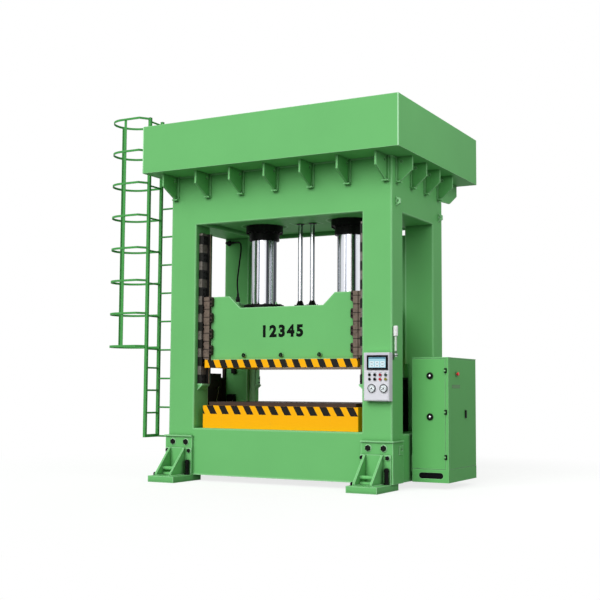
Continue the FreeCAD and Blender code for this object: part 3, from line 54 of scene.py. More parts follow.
# Metres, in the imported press's own frame: x to the right, y to the back, z up from the floor.
origin = (0, 0, 0)
toRight, toLeft = (1, 0, 0), (-1, 0, 0)
toBack, toFront = (0, 1, 0), (0, -1, 0)
upward, downward = (0, 0, 1), (0, 0, -1)
bothSides = ((-1, "Left"), (1, "Right"))


# Small helpers: colours, nodes, shapes as whole arrays, meshes

def hexLinear(code):
    # sRGB to linear: c / 12.92 below 0.04045, otherwise ((c + 0.055) / 1.055) to the power 2.4
    value = np.array([int(code[i:i + 2], 16) for i in (1, 3, 5)]) / 255
    linear = np.where(value <= 0.04045, value / 12.92, ((value + 0.055) / 1.055) ** 2.4)
    return (*linear.tolist(), 1.0)


def scaled(code, factor):
    # the linear colour times the factor, no channel above 1
    return (*(min(channel * factor, 1) for channel in hexLinear(code)[:3]), 1.0)


def addNode(tree, kind, settings=None):
    # settings name a property or a socket (by name or number) and give a value, or a (node, output) to link
    node = tree.nodes.new(kind)
    for name, value in (settings or {}).items():
        if isinstance(value, tuple) and isinstance(value[0], bpy.types.Node):
            tree.links.new(value[0].outputs[value[1]], node.inputs[name])
        elif isinstance(name, int) or name in node.inputs:
            node.inputs[name].default_value = value
        else:
            setattr(node, name, value)
    return node


def calc(tree, operation, *terms, clamp=False):
    # one step of arithmetic; each term is a number or a (node, output)
    settings = {"operation": operation, "use_clamp": clamp, **dict(enumerate(terms))}
    return addNode(tree, "ShaderNodeMath", settings), "Value"


def mixTone(tree, share, low, high):
    # low where the share is 0 and high where it is 1, each a colour or a (node, output)
    return addNode(tree, "ShaderNodeMix", {"data_type": "RGBA", 0: share, 6: low, 7: high}), 2


def remap(tree, value, low, high, toLow=0.0, toHigh=1.0):
    # low to high carried straight onto toLow to toHigh, held at both ends
    return addNode(tree, "ShaderNodeMapRange", {"Value": value, "From Min": low, "From Max": high,
                                                "To Min": toLow, "To Max": toHigh}), "Result"


def grainNoise(tree, place, size, detail, rough=0.5):
    # noise whose pattern repeats about every size metres
    return addNode(tree, "ShaderNodeTexNoise",
                   {"Vector": place, "Scale": 1 / size, "Detail": detail, "Roughness": rough}), "Fac"


def parted(tree, source, output="Object"):
    # the x, y and z of one output of the coordinates
    split = addNode(tree, "ShaderNodeSeparateXYZ", {"Vector": (source, output)})
    return [(split, axis) for axis in "XYZ"]


def softEdge(tree, radius):
    # a normal that rounds the edges off by the radius
    return addNode(tree, "ShaderNodeBevel", {"samples": 4, "Radius": radius}), "Normal"


def relief(tree, height, strength, depth, normal):
    return addNode(tree, "ShaderNodeBump",
                   {"Strength": strength, "Distance": depth, "Height": height, "Normal": normal}), "Normal"


def plug(shader, **sockets):
    # links each named socket of the shader to its (node, output)
    for socket, (node, output) in sockets.items():
        shader.id_data.links.new(node.outputs[output], shader.inputs[socket.replace("_", " ")])


def startMaterial(name, **sockets):
    # a Principled shader with its even values set straight on the sockets, and the coordinates of the object
    material = bpy.data.materials.new(name)
    material.use_nodes = True
    tree = material.node_tree
    tree.nodes.clear()
    shader = addNode(tree, "ShaderNodeBsdfPrincipled",
                     {socket.replace("_", " "): value for socket, value in sockets.items()})
    addNode(tree, "ShaderNodeOutputMaterial", {"Surface": (shader, "BSDF")})
    return material, tree, shader, addNode(tree, "ShaderNodeTexCoord")


def sideVectors(axis):
    # two unit vectors square to the axis and to each other
    axis = np.array(axis, float) / np.linalg.norm(axis)
    helper = np.array([0.0, 0.0, 1.0]) if abs(axis[2]) < 0.9 else np.array([1.0, 0.0, 0.0])
    first = np.cross(helper, axis)
    first /= np.linalg.norm(first)
    return axis, first, np.cross(axis, first)


def evenAngles(count, first=0.0):
    # first + 2 pi i / count
    return np.linspace(0, 2 * np.pi, count, endpoint=False) + first


def around(angle, first, second):
    # u cos t + w sin t at every angle t
    return np.cos(angle)[:, None] * first + np.sin(angle)[:, None] * second


def outward(shape):
    # six times the volume is the sum of a . (b x c) over the triangles; below zero the faces are turned round
    points, quads, caps = shape
    total = 0.0
    for faces in [quads] + caps:
        corner = points[faces]
        for k in range(1, faces.shape[1] - 1):
            total += np.einsum("ij,ij->", corner[:, 0], np.cross(corner[:, k], corner[:, k + 1]))
    if total < 0:
        quads, caps = quads[:, ::-1], [cap[:, ::-1] for cap in caps]
    return points, quads, caps


def loft(loops, ring=False):
    # quad (i, j) joins loop i to loop i + 1 at place j; end loops are closed flat, or joined as a ring
    loops = np.asarray(loops, float)
    rows, count = loops.shape[:2]
    index = np.arange(rows * count).reshape(rows, count)
    lower = index if ring else index[:-1]
    upper = np.roll(index, -1, 0) if ring else index[1:]
    quads = np.stack([lower, np.roll(lower, -1, 1), np.roll(upper, -1, 1), upper], -1).reshape(-1, 4)
    caps = [] if ring else [index[:1, ::-1].copy(), index[-1:].copy()]
    return outward((loops.reshape(-1, 3), quads, caps))


def turned(profile, base, axis=upward, sides=32, ring=False):
    # point (i, j) = base + axis * along_i + radius_i * (u cos t_j + w sin t_j), t_j round the circle
    axis, first, second = sideVectors(axis)
    profile = np.array(profile, float)[:, :, None, None]
    circle = around(evenAngles(sides), first, second)
    return loft(np.array(base, float) + profile[:, 1] * axis + profile[:, 0] * circle, ring)


def collar(inner, outer, low, high, base, axis=upward, sides=32, edge=0.001):
    # a rectangle (radius, along) with its outer corners chamfered, carried round the axis
    section = [(inner, low), (outer - edge, low), (outer, low + edge),
               (outer, high - edge), (outer - edge, high), (inner, high)]
    return turned(section, base, axis, sides, ring=True)


def hexHead(base, axis, flats, height):
    # a six sided loop carried along the axis, drawn in at its end
    radius = flats / math.sqrt(3)
    return turned([(radius, 0), (radius, height * 0.8), (radius * 0.86, height)], base, axis, 6)


def slab(centre, size, across, up, corner=0.004, edge=0.001, steps=3):
    # a rounded rectangle, width by height, carried from the centre along across x up, drawn in at both faces
    across, up = np.array(across, float), np.array(up, float)
    out = np.cross(across, up)
    width, height, depth = size
    angle = np.concatenate([np.linspace(q, q + 90, steps + 1) for q in (0, 90, 180, 270)]) * np.pi / 180
    quarter = np.repeat(np.array([[1, 1], [-1, 1], [-1, -1], [1, -1]]), steps + 1, 0)
    rows = []
    for inset, along in ((edge, 0.0), (0.0, edge), (0.0, depth - edge), (edge, depth)):
        bend = max(corner - inset, 1e-5)
        x = quarter[:, 0] * (width / 2 - inset - bend) + bend * np.cos(angle)
        y = quarter[:, 1] * (height / 2 - inset - bend) + bend * np.sin(angle)
        rows.append(np.array(centre, float) + x[:, None] * across + y[:, None] * up + along * out)
    return loft(rows)


def bentPath(points, bend, steps=6):
    # each corner p becomes the curve (1-t)^2 a + 2t(1-t) p + t^2 b, from a to b, one bend before and after it
    points = np.array(points, float)
    line = [points[:1]]
    t = np.linspace(0, 1, steps)[:, None]
    for before, corner, after in zip(points, points[1:], points[2:]):
        start = corner + (before - corner) / np.linalg.norm(before - corner) * bend
        end = corner + (after - corner) / np.linalg.norm(after - corner) * bend
        line.append((1 - t) ** 2 * start + 2 * t * (1 - t) * corner + t ** 2 * end)
    return np.concatenate(line + [points[-1:]])


def tubeAlong(line, radius, sides=16, helper=(0.53, 0.31, 0.79)):
    # a circle at each point, square to the line: u = t x h with one helper h, w = u x t
    along = np.gradient(line, axis=0)
    along /= np.linalg.norm(along, axis=1)[:, None]
    first = np.cross(along, np.array(helper))
    first /= np.linalg.norm(first, axis=1)[:, None]
    second = np.cross(first, along)
    return loft(line[:, None] + radius * around(evenAngles(sides), first[:, None], second[:, None]))


def weldBead(start, end, wallOne, wallTwo, size=0.007, pitch=0.009):
    # a quarter round of radius size (1 + 0.12 sin(2 pi s / pitch)) between two walls, carried from start to end
    start, end = np.array(start, float), np.array(end, float)
    length = np.linalg.norm(end - start)
    rows = max(int(length / (pitch / 3)), 4)
    share = np.linspace(0, 1, rows)
    swell = size * (1 + 0.12 * np.sin(2 * np.pi * share * length / pitch))
    rim = around(np.linspace(0, np.pi / 2, 4), np.array(wallOne, float), np.array(wallTwo, float))
    loop = np.concatenate([np.zeros((1, 3)), rim])
    centre = start + share[:, None] * (end - start)
    return loft(centre[:, None] + swell[:, None, None] * loop)


def repeated(shape, places):
    # the same points at each place: p + place, with the faces' numbers moved on by a shape's count
    points, quads, caps = shape
    places = np.array(places, float)
    step = (np.arange(len(places)) * len(points))[:, None, None]
    return ((points + places[:, None]).reshape(-1, 3), (quads + step).reshape(-1, 4),
            [(cap + step).reshape(-1, cap.shape[1]) for cap in caps])


def joined(*shapes):
    # several shapes as one set of arrays
    starts = np.cumsum([0] + [len(shape[0]) for shape in shapes])
    return (np.concatenate([shape[0] for shape in shapes]),
            np.concatenate([shape[1] + start for shape, start in zip(shapes, starts)]),
            [cap + start for shape, start in zip(shapes, starts) for cap in shape[2]])


def flipped(shape, axis=0):
    # the mirror image across the plane where the axis is 0, with its faces turned back outwards
    points = shape[0].copy()
    points[:, axis] *= -1
    return points, shape[1][:, ::-1], [cap[:, ::-1] for cap in shape[2]]


def circlePlaces(count, radius, centre, axis=upward, first=0.0):
    # centre + radius * (u cos t + w sin t) at count even angles
    one, two = sideVectors(axis)[1:]
    return np.array(centre, float) + radius * around(evenAngles(count, first), one, two)


def gridPlaces(*lines):
    # every pairing of the given x, y and z values
    return np.stack(np.meshgrid(*lines, indexing="ij"), -1).reshape(-1, 3)


def addPiece(name, mesh, finish, body):
    mesh.materials.append(finishes[finish])
    piece = bpy.data.objects.new(name, mesh)
    scene.collection.objects.link(piece)
    # a piece given no body rides on none
    if body:
        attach(piece, body)
    return piece


def makePiece(name, shape, finish, body="press_frame", sharp=35):
    # the shape's arrays as a mesh, smooth but for edges sharper than the angle in degrees
    points, quads, caps = shape
    corners = np.concatenate([quads.ravel()] + [cap.ravel() for cap in caps])
    sizes = np.concatenate([np.full(len(quads), 4)] + [np.full(len(cap), cap.shape[1]) for cap in caps])
    mesh = bpy.data.meshes.new(name)
    mesh.vertices.add(len(points))
    mesh.vertices.foreach_set("co", points.astype(np.float32).ravel())
    mesh.loops.add(len(corners))
    mesh.loops.foreach_set("vertex_index", corners.astype(np.int32))
    mesh.polygons.add(len(sizes))
    mesh.polygons.foreach_set("loop_start", (np.cumsum(sizes) - sizes).astype(np.int32))
    mesh.update(calc_edges=True)
    mesh.validate()
    mesh.shade_smooth()
    mesh.set_sharp_from_angle(angle=math.radians(sharp))
    return addPiece(name, mesh, finish, body)


def makeMirrored(name, shape, finish):
    # the piece as it is on the right, and its mirror image on the left
    makePiece(name + "Right", shape, finish)
    makePiece(name + "Left", flipped(shape), finish)


def curveMesh(curve):
    # the mesh that Blender makes of a curve or a text
    holder = bpy.data.objects.new(curve.name + "Curve", curve)
    scene.collection.objects.link(holder)
    bpy.context.view_layer.update()
    mesh = bpy.data.meshes.new_from_object(holder.evaluated_get(bpy.context.evaluated_depsgraph_get()))
    bpy.data.objects.remove(holder)
    return mesh


def makeDigits(name, digits, height, centre, depth, body="press_frame",
               weight=0.0, spacing=1.0):
    # digits that face the front, centred: the text's own x, y and z become x, z and -y
    text = bpy.data.curves.new(name, "FONT")
    text.body, text.size, text.extrude, text.offset = digits, height, depth / 2, weight
    text.space_character = spacing
    text.align_x, text.align_y = "CENTER", "CENTER"
    mesh = curveMesh(text)
    place = Matrix([(1, 0, 0, 0), (0, 0, -1, 0), (0, 1, 0, 0), (0, 0, 0, 1)])
    place.translation = Vector(centre) + Vector(toFront) * depth / 2
    mesh.transform(place)
    mesh.materials.clear()
    addPiece(name, mesh, "figureInk", body)


# Camera, where the photograph's camera stood

camera = {"place": (6.8813, -12.8943, 1.2254), "turn": 28.42, "tilt": 4.77, "roll": 0.34,
          "focalPixels": 1070.11, "pictureWidth": 600, "sensor": 36}


def placeCamera():
    # looking along f = (-sin a cos t, cos a cos t, sin t), its right hand r = (cos a, sin a, 0)
    # rolled towards r x f
    a, t, roll = (math.radians(camera[key]) for key in ("turn", "tilt", "roll"))
    ahead = Vector((-math.sin(a) * math.cos(t), math.cos(a) * math.cos(t), math.sin(t)))
    level = Vector((math.cos(a), math.sin(a), 0))
    right = level * math.cos(roll) + level.cross(ahead) * math.sin(roll)
    up = right.cross(ahead)
    lens = bpy.data.cameras.new("studioCamera")
    lens.sensor_width = camera["sensor"]
    lens.lens = camera["focalPixels"] / camera["pictureWidth"] * camera["sensor"]
    lens.clip_end = 200
    stand = bpy.data.objects.new("studioCamera", lens)
    scene.collection.objects.link(stand)
    stand.matrix_world = Matrix([(*row, 0) for row in zip(right, up, -ahead)] + [(0, 0, 0, 1)])
    stand.location = camera["place"]
    scene.camera = stand


placeCamera()
print("camera placed")


# Materials; every pattern's size is in metres

enamel = {"sheen": 0.07, "clouds": 0.6, "creaseReach": 0.07, "paintedShadeTone": 0.30, "paintedShadeMost": 0.75,
          "wearAndHighlight": "#A9E0AC", "rounding": 0.006, "peel": 0.012, "peelDepth": 0.001}


def machineEnamel(name, colour, gloss=0.55, highlightLift=0.75, highlightWidth=0.019):
    # sprayed two-pack enamel: even satin, faint clouds and orange peel, a pale painted highlight on outer edges,
    # painted shade darkening inner corners and places close to other parts; the edges are found by how much of
    # the solid lies close behind the surface
    material, tree, shader, source = startMaterial(name, Roughness=gloss, IOR=1.5,
                                                   Specular_IOR_Level=enamel["sheen"])
    place = (source, "Object")
    clouds = grainNoise(tree, place, enamel["clouds"], 3.0)
    tone = mixTone(tree, clouds, scaled(colour, 0.95), scaled(colour, 1.05))
    # painted shade: darker where other surfaces lie close, in inner corners and under things
    crease = addNode(tree, "ShaderNodeAmbientOcclusion", {"samples": 6, "Distance": enamel["creaseReach"]})
    paintedShade = remap(tree, (crease, "AO"), 0.35, 0.85, enamel["paintedShadeMost"], 0.0)
    creaseShaded = mixTone(tree, paintedShade, tone, scaled(colour, enamel["paintedShadeTone"]))
    # painted highlight: paler along outer edges, where little of the solid lies close behind
    behind = addNode(tree, "ShaderNodeAmbientOcclusion",
                     {"samples": 6, "inside": True, "only_local": True, "Distance": highlightWidth})
    rim = remap(tree, (behind, "AO"), 0.95, 0.55, 0.0, highlightLift)
    highlighted = mixTone(tree, rim, creaseShaded, hexLinear(enamel["wearAndHighlight"]))
    # real orange peel is 2 to 3 mm wide; drawn 12 mm wide so that it shows at all
    peel = grainNoise(tree, place, enamel["peel"], 1.0)
    plug(shader, Base_Color=highlighted,
         Normal=relief(tree, peel, 0.05, enamel["peelDepth"], softEdge(tree, enamel["rounding"])))
    return material


hazard = {"yellow": "#FDB400", "black": "#15140F", "worn": "#8A7B4A", "scuffs": 0.12,
          "platen": {"pitch": 0.1853, "dark": 0.513, "lean": 0.43, "start": -1.077, "level": 1.561,
                     "low": 0.0},
          "bolster": {"pitch": 0.1894, "dark": 0.546, "lean": 0.58, "start": -1.066, "level": 0.946,
                      "low": 0.890}}


def hazardEnamel(name, pitch, dark, lean, start, level, low):
    # yellow enamel with black bands: a point is black where the fraction of (x - start + lean (z - level)) over
    # pitch is below dark, on faces that look along y and above the level low
    material, tree, shader, source = startMaterial(name, Roughness=0.45, IOR=1.5, Specular_IOR_Level=0.12)
    x, _, z = parted(tree, source)
    facing = parted(tree, source, "Normal")[1]
    slant = calc(tree, "ADD", x, calc(tree, "MULTIPLY_ADD", z, lean, -start - lean * level))
    band = calc(tree, "LESS_THAN", calc(tree, "FRACT", calc(tree, "DIVIDE", slant, pitch)), dark)
    front = calc(tree, "GREATER_THAN", calc(tree, "ABSOLUTE", facing), 0.9)
    zone = calc(tree, "MULTIPLY", front, calc(tree, "GREATER_THAN", z, low))
    inked = calc(tree, "MULTIPLY", band, zone)
    tone = mixTone(tree, inked, hexLinear(hazard["yellow"]), hexLinear(hazard["black"]))
    scuff = grainNoise(tree, (source, "Object"), hazard["scuffs"], 6.0, 0.7)
    wearAndHighlight = mixTone(tree, remap(tree, scuff, 0.62, 0.72, 0.0, 0.12), tone, hexLinear(hazard["worn"]))
    plug(shader, Base_Color=wearAndHighlight, Normal=softEdge(tree, 0.004))
    return material


def plainFinish(name, colour, gloss, metallic=0.0, spread=0.12, grain=0.02, depth=0.0004, edge=0.002,
                sheen=0.25, **sockets):
    # a moulded, rolled or blackened surface: one tone that wanders a little, a fine relief and softened edges
    material, tree, shader, source = startMaterial(name, Roughness=gloss, Metallic=metallic,
                                                   Specular_IOR_Level=sheen, **sockets)
    pattern = grainNoise(tree, (source, "Object"), grain, 4.0)
    tone = mixTone(tree, pattern, scaled(colour, 1 - spread), scaled(colour, 1 + spread))
    plug(shader, Base_Color=tone, Normal=relief(tree, pattern, 0.3, depth, softEdge(tree, edge)))
    return material


# reflectionBands: the tone of the painted reflection at each share of the way round a rod, the front being 0.5;
# behind is its tone at the back
chrome = {"behind": "#777B84", "foot": "#0B0D0B", "polish": 0.16, "footGloss": 0.45,
          "reflectionBands": ((0.15, "#C9CCD6"), (0.30, "#8A8E97"), (0.355, "#3C4048"), (0.385, "#9EA2AB"),
                    (0.46, "#DADDE4"), (0.503, "#E4E6EC"), (0.514, "#3C4048"), (0.526, "#4A4E57"),
                    (0.542, "#F8F9FC"), (0.600, "#F8F9FC"), (0.615, "#30343C"), (0.630, "#3A3E46"),
                    (0.648, "#D5D8E0"), (0.695, "#F0F2F6"), (0.718, "#42464E"), (0.790, "#2E3138"),
                    (0.86, "#8A8E97"))}


def hardChrome(name, centres, footTop):
    # ground hard chrome on rods that stand at x = -centres and + centres: mirror-like, with upright painted
    # reflections whose tone follows the angle round the rod's own axis; below footTop the blackened foot
    material, tree, shader, source = startMaterial(name, Metallic=1.0)
    x, y, z = parted(tree, source)
    fromRod = calc(tree, "MULTIPLY_ADD", calc(tree, "SIGN", x), -centres, x)
    angle = calc(tree, "ARCTAN2", fromRod, calc(tree, "MULTIPLY", y, -1.0))
    # painted reflections: light and dark upright bands by the angle round the rod
    reflectionRamp = addNode(tree, "ShaderNodeValToRGB", {"Fac": remap(tree, angle, -math.pi, math.pi)})
    ramp = reflectionRamp.color_ramp
    ramp.elements[0].color = ramp.elements[-1].color = hexLinear(chrome["behind"])
    for spot, tone in chrome["reflectionBands"]:
        ramp.elements.new(spot).color = hexLinear(tone)
    foot = calc(tree, "LESS_THAN", z, footTop)
    plug(shader, Base_Color=mixTone(tree, foot, (reflectionRamp, "Color"), hexLinear(chrome["foot"])),
         Roughness=remap(tree, foot, 0.0, 1.0, chrome["polish"], chrome["footGloss"]))
    return material


guideCoats = {
    "guideRailSteel": {"first": 1.294, "pitch": 0.237, "share": 0.52, "blockEdge": 1.1905,
                       "tongueEdge": 0.6594, "backEdge": 0.6310, "enamelFrom": 0.0,
                       "tones": ("#141512", "#6F6963", "#8B7A62", "#1F4A20")},
    "guideShoeSteel": {"first": 1.640, "pitch": 0.109, "share": 0.12, "blockEdge": 1.0765,
                       "tongueEdge": 0.3, "backEdge": 0.2, "enamelFrom": 9.0,
                       "tones": ("#332A24", "#6E6055", "#6E6055", "#6E6055")},
}


def guideSteel(name, first, pitch, share, blockEdge, tongueEdge, backEdge, enamelFrom, tones):
    # machined guide steel under old grease, banded by height: black where the fraction of (z - first) over
    # pitch is below share or |x| is below blockEdge, pale steel between; |y| below tongueEdge is the bronze
    # strip, below backEdge the enamel in a dark green that is painted shade; where y is above enamelFrom the
    # rear rails carry the press's green, as in the photograph
    material, tree, shader, source = startMaterial(name, Roughness=0.5, Metallic=0.2, Specular_IOR_Level=0.2)
    x, y, z = parted(tree, source)
    raised = calc(tree, "LESS_THAN", calc(tree, "ABSOLUTE", x), blockEdge)
    count = calc(tree, "DIVIDE", calc(tree, "SUBTRACT", z, first), pitch)
    level = calc(tree, "LESS_THAN", calc(tree, "FRACT", count), share)
    black, steel, tongue, back = (hexLinear(tone) for tone in tones)
    tone = mixTone(tree, calc(tree, "MAXIMUM", raised, level), steel, black)
    deep = calc(tree, "ABSOLUTE", y)
    # below backEdge the dark green enamel is painted shade
    for edge, colour in ((tongueEdge, tongue), (backEdge, back)):
        tone = mixTone(tree, calc(tree, "LESS_THAN", deep, edge), tone, colour)
    smear = remap(tree, grainNoise(tree, (source, "Object"), 0.05, 6.0, 0.65), 0.48, 0.72, 0.0, 0.65)
    greased = mixTone(tree, smear, tone, hexLinear("#171310"))
    rear = calc(tree, "GREATER_THAN", y, enamelFrom)
    plug(shader, Base_Color=mixTone(tree, rear, greased, hexLinear("#5FA862")), Normal=softEdge(tree, 0.005))
    return material


def tiedFinish(name, low, high, coat, bare, axis="X", crownLevel=9.0):
    # a mottled coat of two tones, left bare and pale where the place along the axis lies between low and high;
    # above crownLevel the press's green enamel
    material, tree, shader, source = startMaterial(name, Roughness=0.5, Specular_IOR_Level=0.1)
    places = dict(zip("XYZ", parted(tree, source)))
    over = calc(tree, "GREATER_THAN", places[axis], low)
    inside = calc(tree, "MULTIPLY", over, calc(tree, "LESS_THAN", places[axis], high))
    mottle = grainNoise(tree, (source, "Object"), 0.08, 5.0)
    coated = mixTone(tree, mottle, hexLinear(coat[0]), hexLinear(coat[1]))
    crown = calc(tree, "GREATER_THAN", places["Z"], crownLevel)
    tone = mixTone(tree, crown, mixTone(tree, inside, coated, hexLinear(bare)), hexLinear("#3F8A3F"))
    plug(shader, Base_Color=tone, Normal=softEdge(tree, 0.003))
    return material


deckCoat = {"plateTop": 4.148, "lozenge": 0.03, "lozengeDepth": 0.002, "cornerHighlightWidth": 0.013, "paintedCornerHighlight": "#B9EDBD"}


def gripDeck(name, colour):
    # chequered deck plate: raised lozenges 30 mm apart in the frame's own enamel, on faces that look up at or
    # below the plate's top; the parapet's upright corners carry a pale painted highlight, where |x - middle|
    # and |y - middle| are both near the half size
    material = machineEnamel(name, colour, highlightWidth=0.009)
    tree = material.node_tree
    shader = next(node for node in tree.nodes if node.type == "BSDF_PRINCIPLED")
    peel = shader.inputs["Normal"].links[0].from_node
    plain = shader.inputs["Base Color"].links[0].from_node
    source = addNode(tree, "ShaderNodeTexCoord")
    x, y, z = parted(tree, source)
    diagonal = addNode(tree, "ShaderNodeMapping",
                       {"Rotation": (0, 0, math.radians(45)), "Vector": (source, "Object")})
    lozenge = addNode(tree, "ShaderNodeTexChecker",
                      {"Scale": 1 / deckCoat["lozenge"], "Vector": (diagonal, "Vector")})
    flat = calc(tree, "GREATER_THAN", parted(tree, source, "Normal")[2], 0.9)
    deck = calc(tree, "MULTIPLY", flat, calc(tree, "LESS_THAN", z, deckCoat["plateTop"] + 0.01))
    height = calc(tree, "MULTIPLY", (lozenge, "Fac"), deck)
    low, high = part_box("top_platform")
    near = []
    for line, least, most in ((x, low.x, high.x), (y, low.y, high.y)):
        reach = calc(tree, "ABSOLUTE", calc(tree, "SUBTRACT", line, (least + most) / 2))
        near.append(calc(tree, "GREATER_THAN", reach, (most - least) / 2 - deckCoat["cornerHighlightWidth"]))
    # painted highlight on the parapet's upright corners
    tone = mixTone(tree, calc(tree, "MULTIPLY", *near), (plain, 2), hexLinear(deckCoat["paintedCornerHighlight"]))
    plug(shader, Base_Color=tone, Normal=relief(tree, height, 0.5, deckCoat["lozengeDepth"], (peel, "Normal")))
    return material


pressGreen = "#6FBC71"

finishes = {
    "frameEnamel": machineEnamel("frameEnamel", pressGreen, highlightLift=0.85, highlightWidth=0.026),
    "footEnamel": machineEnamel("footEnamel", pressGreen, highlightLift=0.85, highlightWidth=0.012),
    "slideEnamel": machineEnamel("slideEnamel", pressGreen),
    "cabinetEnamel": machineEnamel("cabinetEnamel", "#66B467", highlightLift=0.4, highlightWidth=0.010),
    "gearEnamel": machineEnamel("gearEnamel", "#66B066", gloss=0.6),
    "ladderEnamel": machineEnamel("ladderEnamel", "#4C9E50", highlightLift=0.25, highlightWidth=0.006),
    "deckEnamel": gripDeck("deckEnamel", pressGreen),
    # blackened guards with one bare zinc strip, and the lamp's pole, dull green below its bare upper part
    "guardLeft": tiedFinish("guardLeft", -1.609, -1.596, ("#15120F", "#352823"), "#A8A090"),
    "guardRight": tiedFinish("guardRight", 1.287, 1.300, ("#0B0E0B", "#151513"), "#A8A090", crownLevel=1.393),
    "beaconPole": tiedFinish("beaconPole", 1.700, 3.0, ("#5E7A60", "#3F5642"), "#C9D6C9", "Z"),
    "platenHazard": hazardEnamel("platenHazard", **hazard["platen"]),
    "bolsterHazard": hazardEnamel("bolsterHazard", **hazard["bolster"]),
    "rodChrome": hardChrome("rodChrome", 0.669, footTop=2.2865),
    "returnChrome": hardChrome("returnChrome", 0.0935, footTop=2.4365),
}
for name, values in guideCoats.items():
    finishes[name] = guideSteel(name, **values)

# colour, gloss, and what differs from plainFinish's own values
coloured = {"spread": 0.05, "grain": 0.02, "depth": 0.0}
plainCoats = {
    # face-milled plate under an oil film: brown-grey with a soft shine
    "milledPlate": ("#463B35", 0.6, {"grain": 0.2, "spread": 0.2, "sheen": 0.04}),
    # black oxide: deep black, a dull satin shine; black enamel: smoother and even
    "blackOxide": ("#101110", 0.45, {"grain": 0.03, "sheen": 0.07}),
    "blackEnamel": ("#131513", 0.4, {"grain": 0.2, "sheen": 0.07}),
    # zinc plated or turned steel: pale, slightly cool; cast steel: darker and dull
    "brightSteel": ("#B9BBBC", 0.28, {"metallic": 1.0, "spread": 0.06, "grain": 0.01, "depth": 0.0001}),
    "castSteel": ("#8E9093", 0.5, {"metallic": 0.7, "grain": 0.006}),
    # powder coat: fine texture, matt
    "powderGrey": ("#DDDDE4", 0.5, {"spread": 0.03, "grain": 0.3, "depth": 0.0002, "edge": 0.003}),
    "powderLilac": ("#C9C8D4", 0.5, {"spread": 0.03, "grain": 0.3, "depth": 0.0002}),
    # printed legends and a bare painted strip
    "legendGrey": ("#AEB0B8", 0.4, {"spread": 0.03, "grain": 0.02, "depth": 0.0}),
    "barePlate": ("#3F7A3B", 0.45, {"metallic": 0.2, "grain": 0.05}),
    # moulded ABS and polycarbonate: even colour, soft gloss
    "blackPlastic": ("#0E0F11", 0.4, {"spread": 0.08, "grain": 0.002, "depth": 0.0001, "sheen": 0.07}),
    "bezelPlastic": ("#080A12", 0.35, {"spread": 0.05, "grain": 0.002, "depth": 0.0001, "sheen": 0.07}),
    "redPlastic": ("#B81C2C", 0.25, coloured),
    "estopRed": ("#E8302E", 0.25, coloured),
    "redDeep": ("#8E1630", 0.25, coloured),
    "greenPlastic": ("#17352E", 0.25, coloured),
    "yellowPlastic": ("#7D7A22", 0.25, coloured),
    "darkGreenPlastic": ("#1C4A2A", 0.3, coloured),
    "whitePlastic": ("#E9EBE9", 0.3, {"spread": 0.03, "grain": 0.02, "depth": 0.0}),
    # float glass; the screen's picture, which has no glass of its own
    "clearGlass": ("#F4F8FA", 0.04, {"spread": 0.0, "grain": 0.2, "depth": 0.0, "Transmission_Weight": 1.0,
                                     "IOR": 1.45}),
    "screenBlue": ("#A9D8E6", 0.2, {"spread": 0.03, "grain": 0.06, "depth": 0.0}),
    "screenPale": ("#E6F3F6", 0.2, {"spread": 0.02, "grain": 0.06, "depth": 0.0}),
    "screenDeep": ("#2C6E8E", 0.2, {"spread": 0.03, "grain": 0.06, "depth": 0.0}),
    # a dial's white enamel, and printing ink
    "dialEnamel": ("#F0F2F0", 0.35, {"spread": 0.02, "grain": 0.02, "depth": 0.0}),
    "figureInk": ("#0B120D", 0.6, {"spread": 0.1, "grain": 0.05, "depth": 0.0, "sheen": 0.04}),
    # vulcanised hose cover: matt black with a woven trace
    "hoseRubber": ("#0D0E0C", 0.6, {"spread": 0.15, "grain": 0.004, "depth": 0.0006, "sheen": 0.08}),
}
for name, (colour, gloss, more) in plainCoats.items():
    finishes[name] = plainFinish(name, colour, gloss, **more)

packedCoats = {
    "frameEnamel": "welded_frame",
    "footEnamel": "foot_front_left foot_front_right foot_back_left foot_back_right",
    "ladderEnamel": "ladder ladder_cage",
    "deckEnamel": "top_platform",
    "slideEnamel": "slide_body",
    "cabinetEnamel": "cabinet_body cabinet_front_door cabinet_side_door",
    "gearEnamel": "oil_tank motor_pump_left motor_pump_right main_cylinder_left main_cylinder_right "
                  "return_cylinders",
    "guardLeft": "side_guard_left",
    "guardRight": "side_guard_right",
    "platenHazard": "slide_platen",
    "bolsterHazard": "bolster",
    "rodChrome": "piston_rod_left piston_rod_right",
    "returnChrome": "return_rod_left return_rod_right",
    "guideRailSteel": "guide_rails_left guide_rails_right",
    "guideShoeSteel": "slide_shoes_left slide_shoes_right",
    "milledPlate": "bolster_plate",
    "blackOxide": "cylinder_gland_left cylinder_gland_right foot_bolts anchor_studs cabinet_hinges door_handle "
                  "lock_lower lock_upper",
    "castSteel": "valve_manifold",
    "blackEnamel": "hose_union junction_box",
    "powderGrey": "control_box",
    "bezelPlastic": "hmi_panel",
    "brightSteel": "gauge_left gauge_right",
    "blackPlastic": "needle_left needle_right selector_upper selector_lower button_upper_1 button_lower_1",
    "estopRed": "estop_button",
    "redPlastic": "button_lower_2",
    "redDeep": "button_upper_2",
    "greenPlastic": "button_upper_3",
    "yellowPlastic": "button_lower_3",
    "whitePlastic": "beacon_lamp",
    "beaconPole": "beacon_pole",
}


def dressPacked():
    for finish, names in packedCoats.items():
        for name in names.split():
            if len(nodes[name].material_slots) == 0:
                nodes[name].data.materials.append(finishes[finish])
            for materialSlot in nodes[name].material_slots:
                materialSlot.material = finishes[finish]


dressPacked()
print("materials on the packed parts")


# Hose

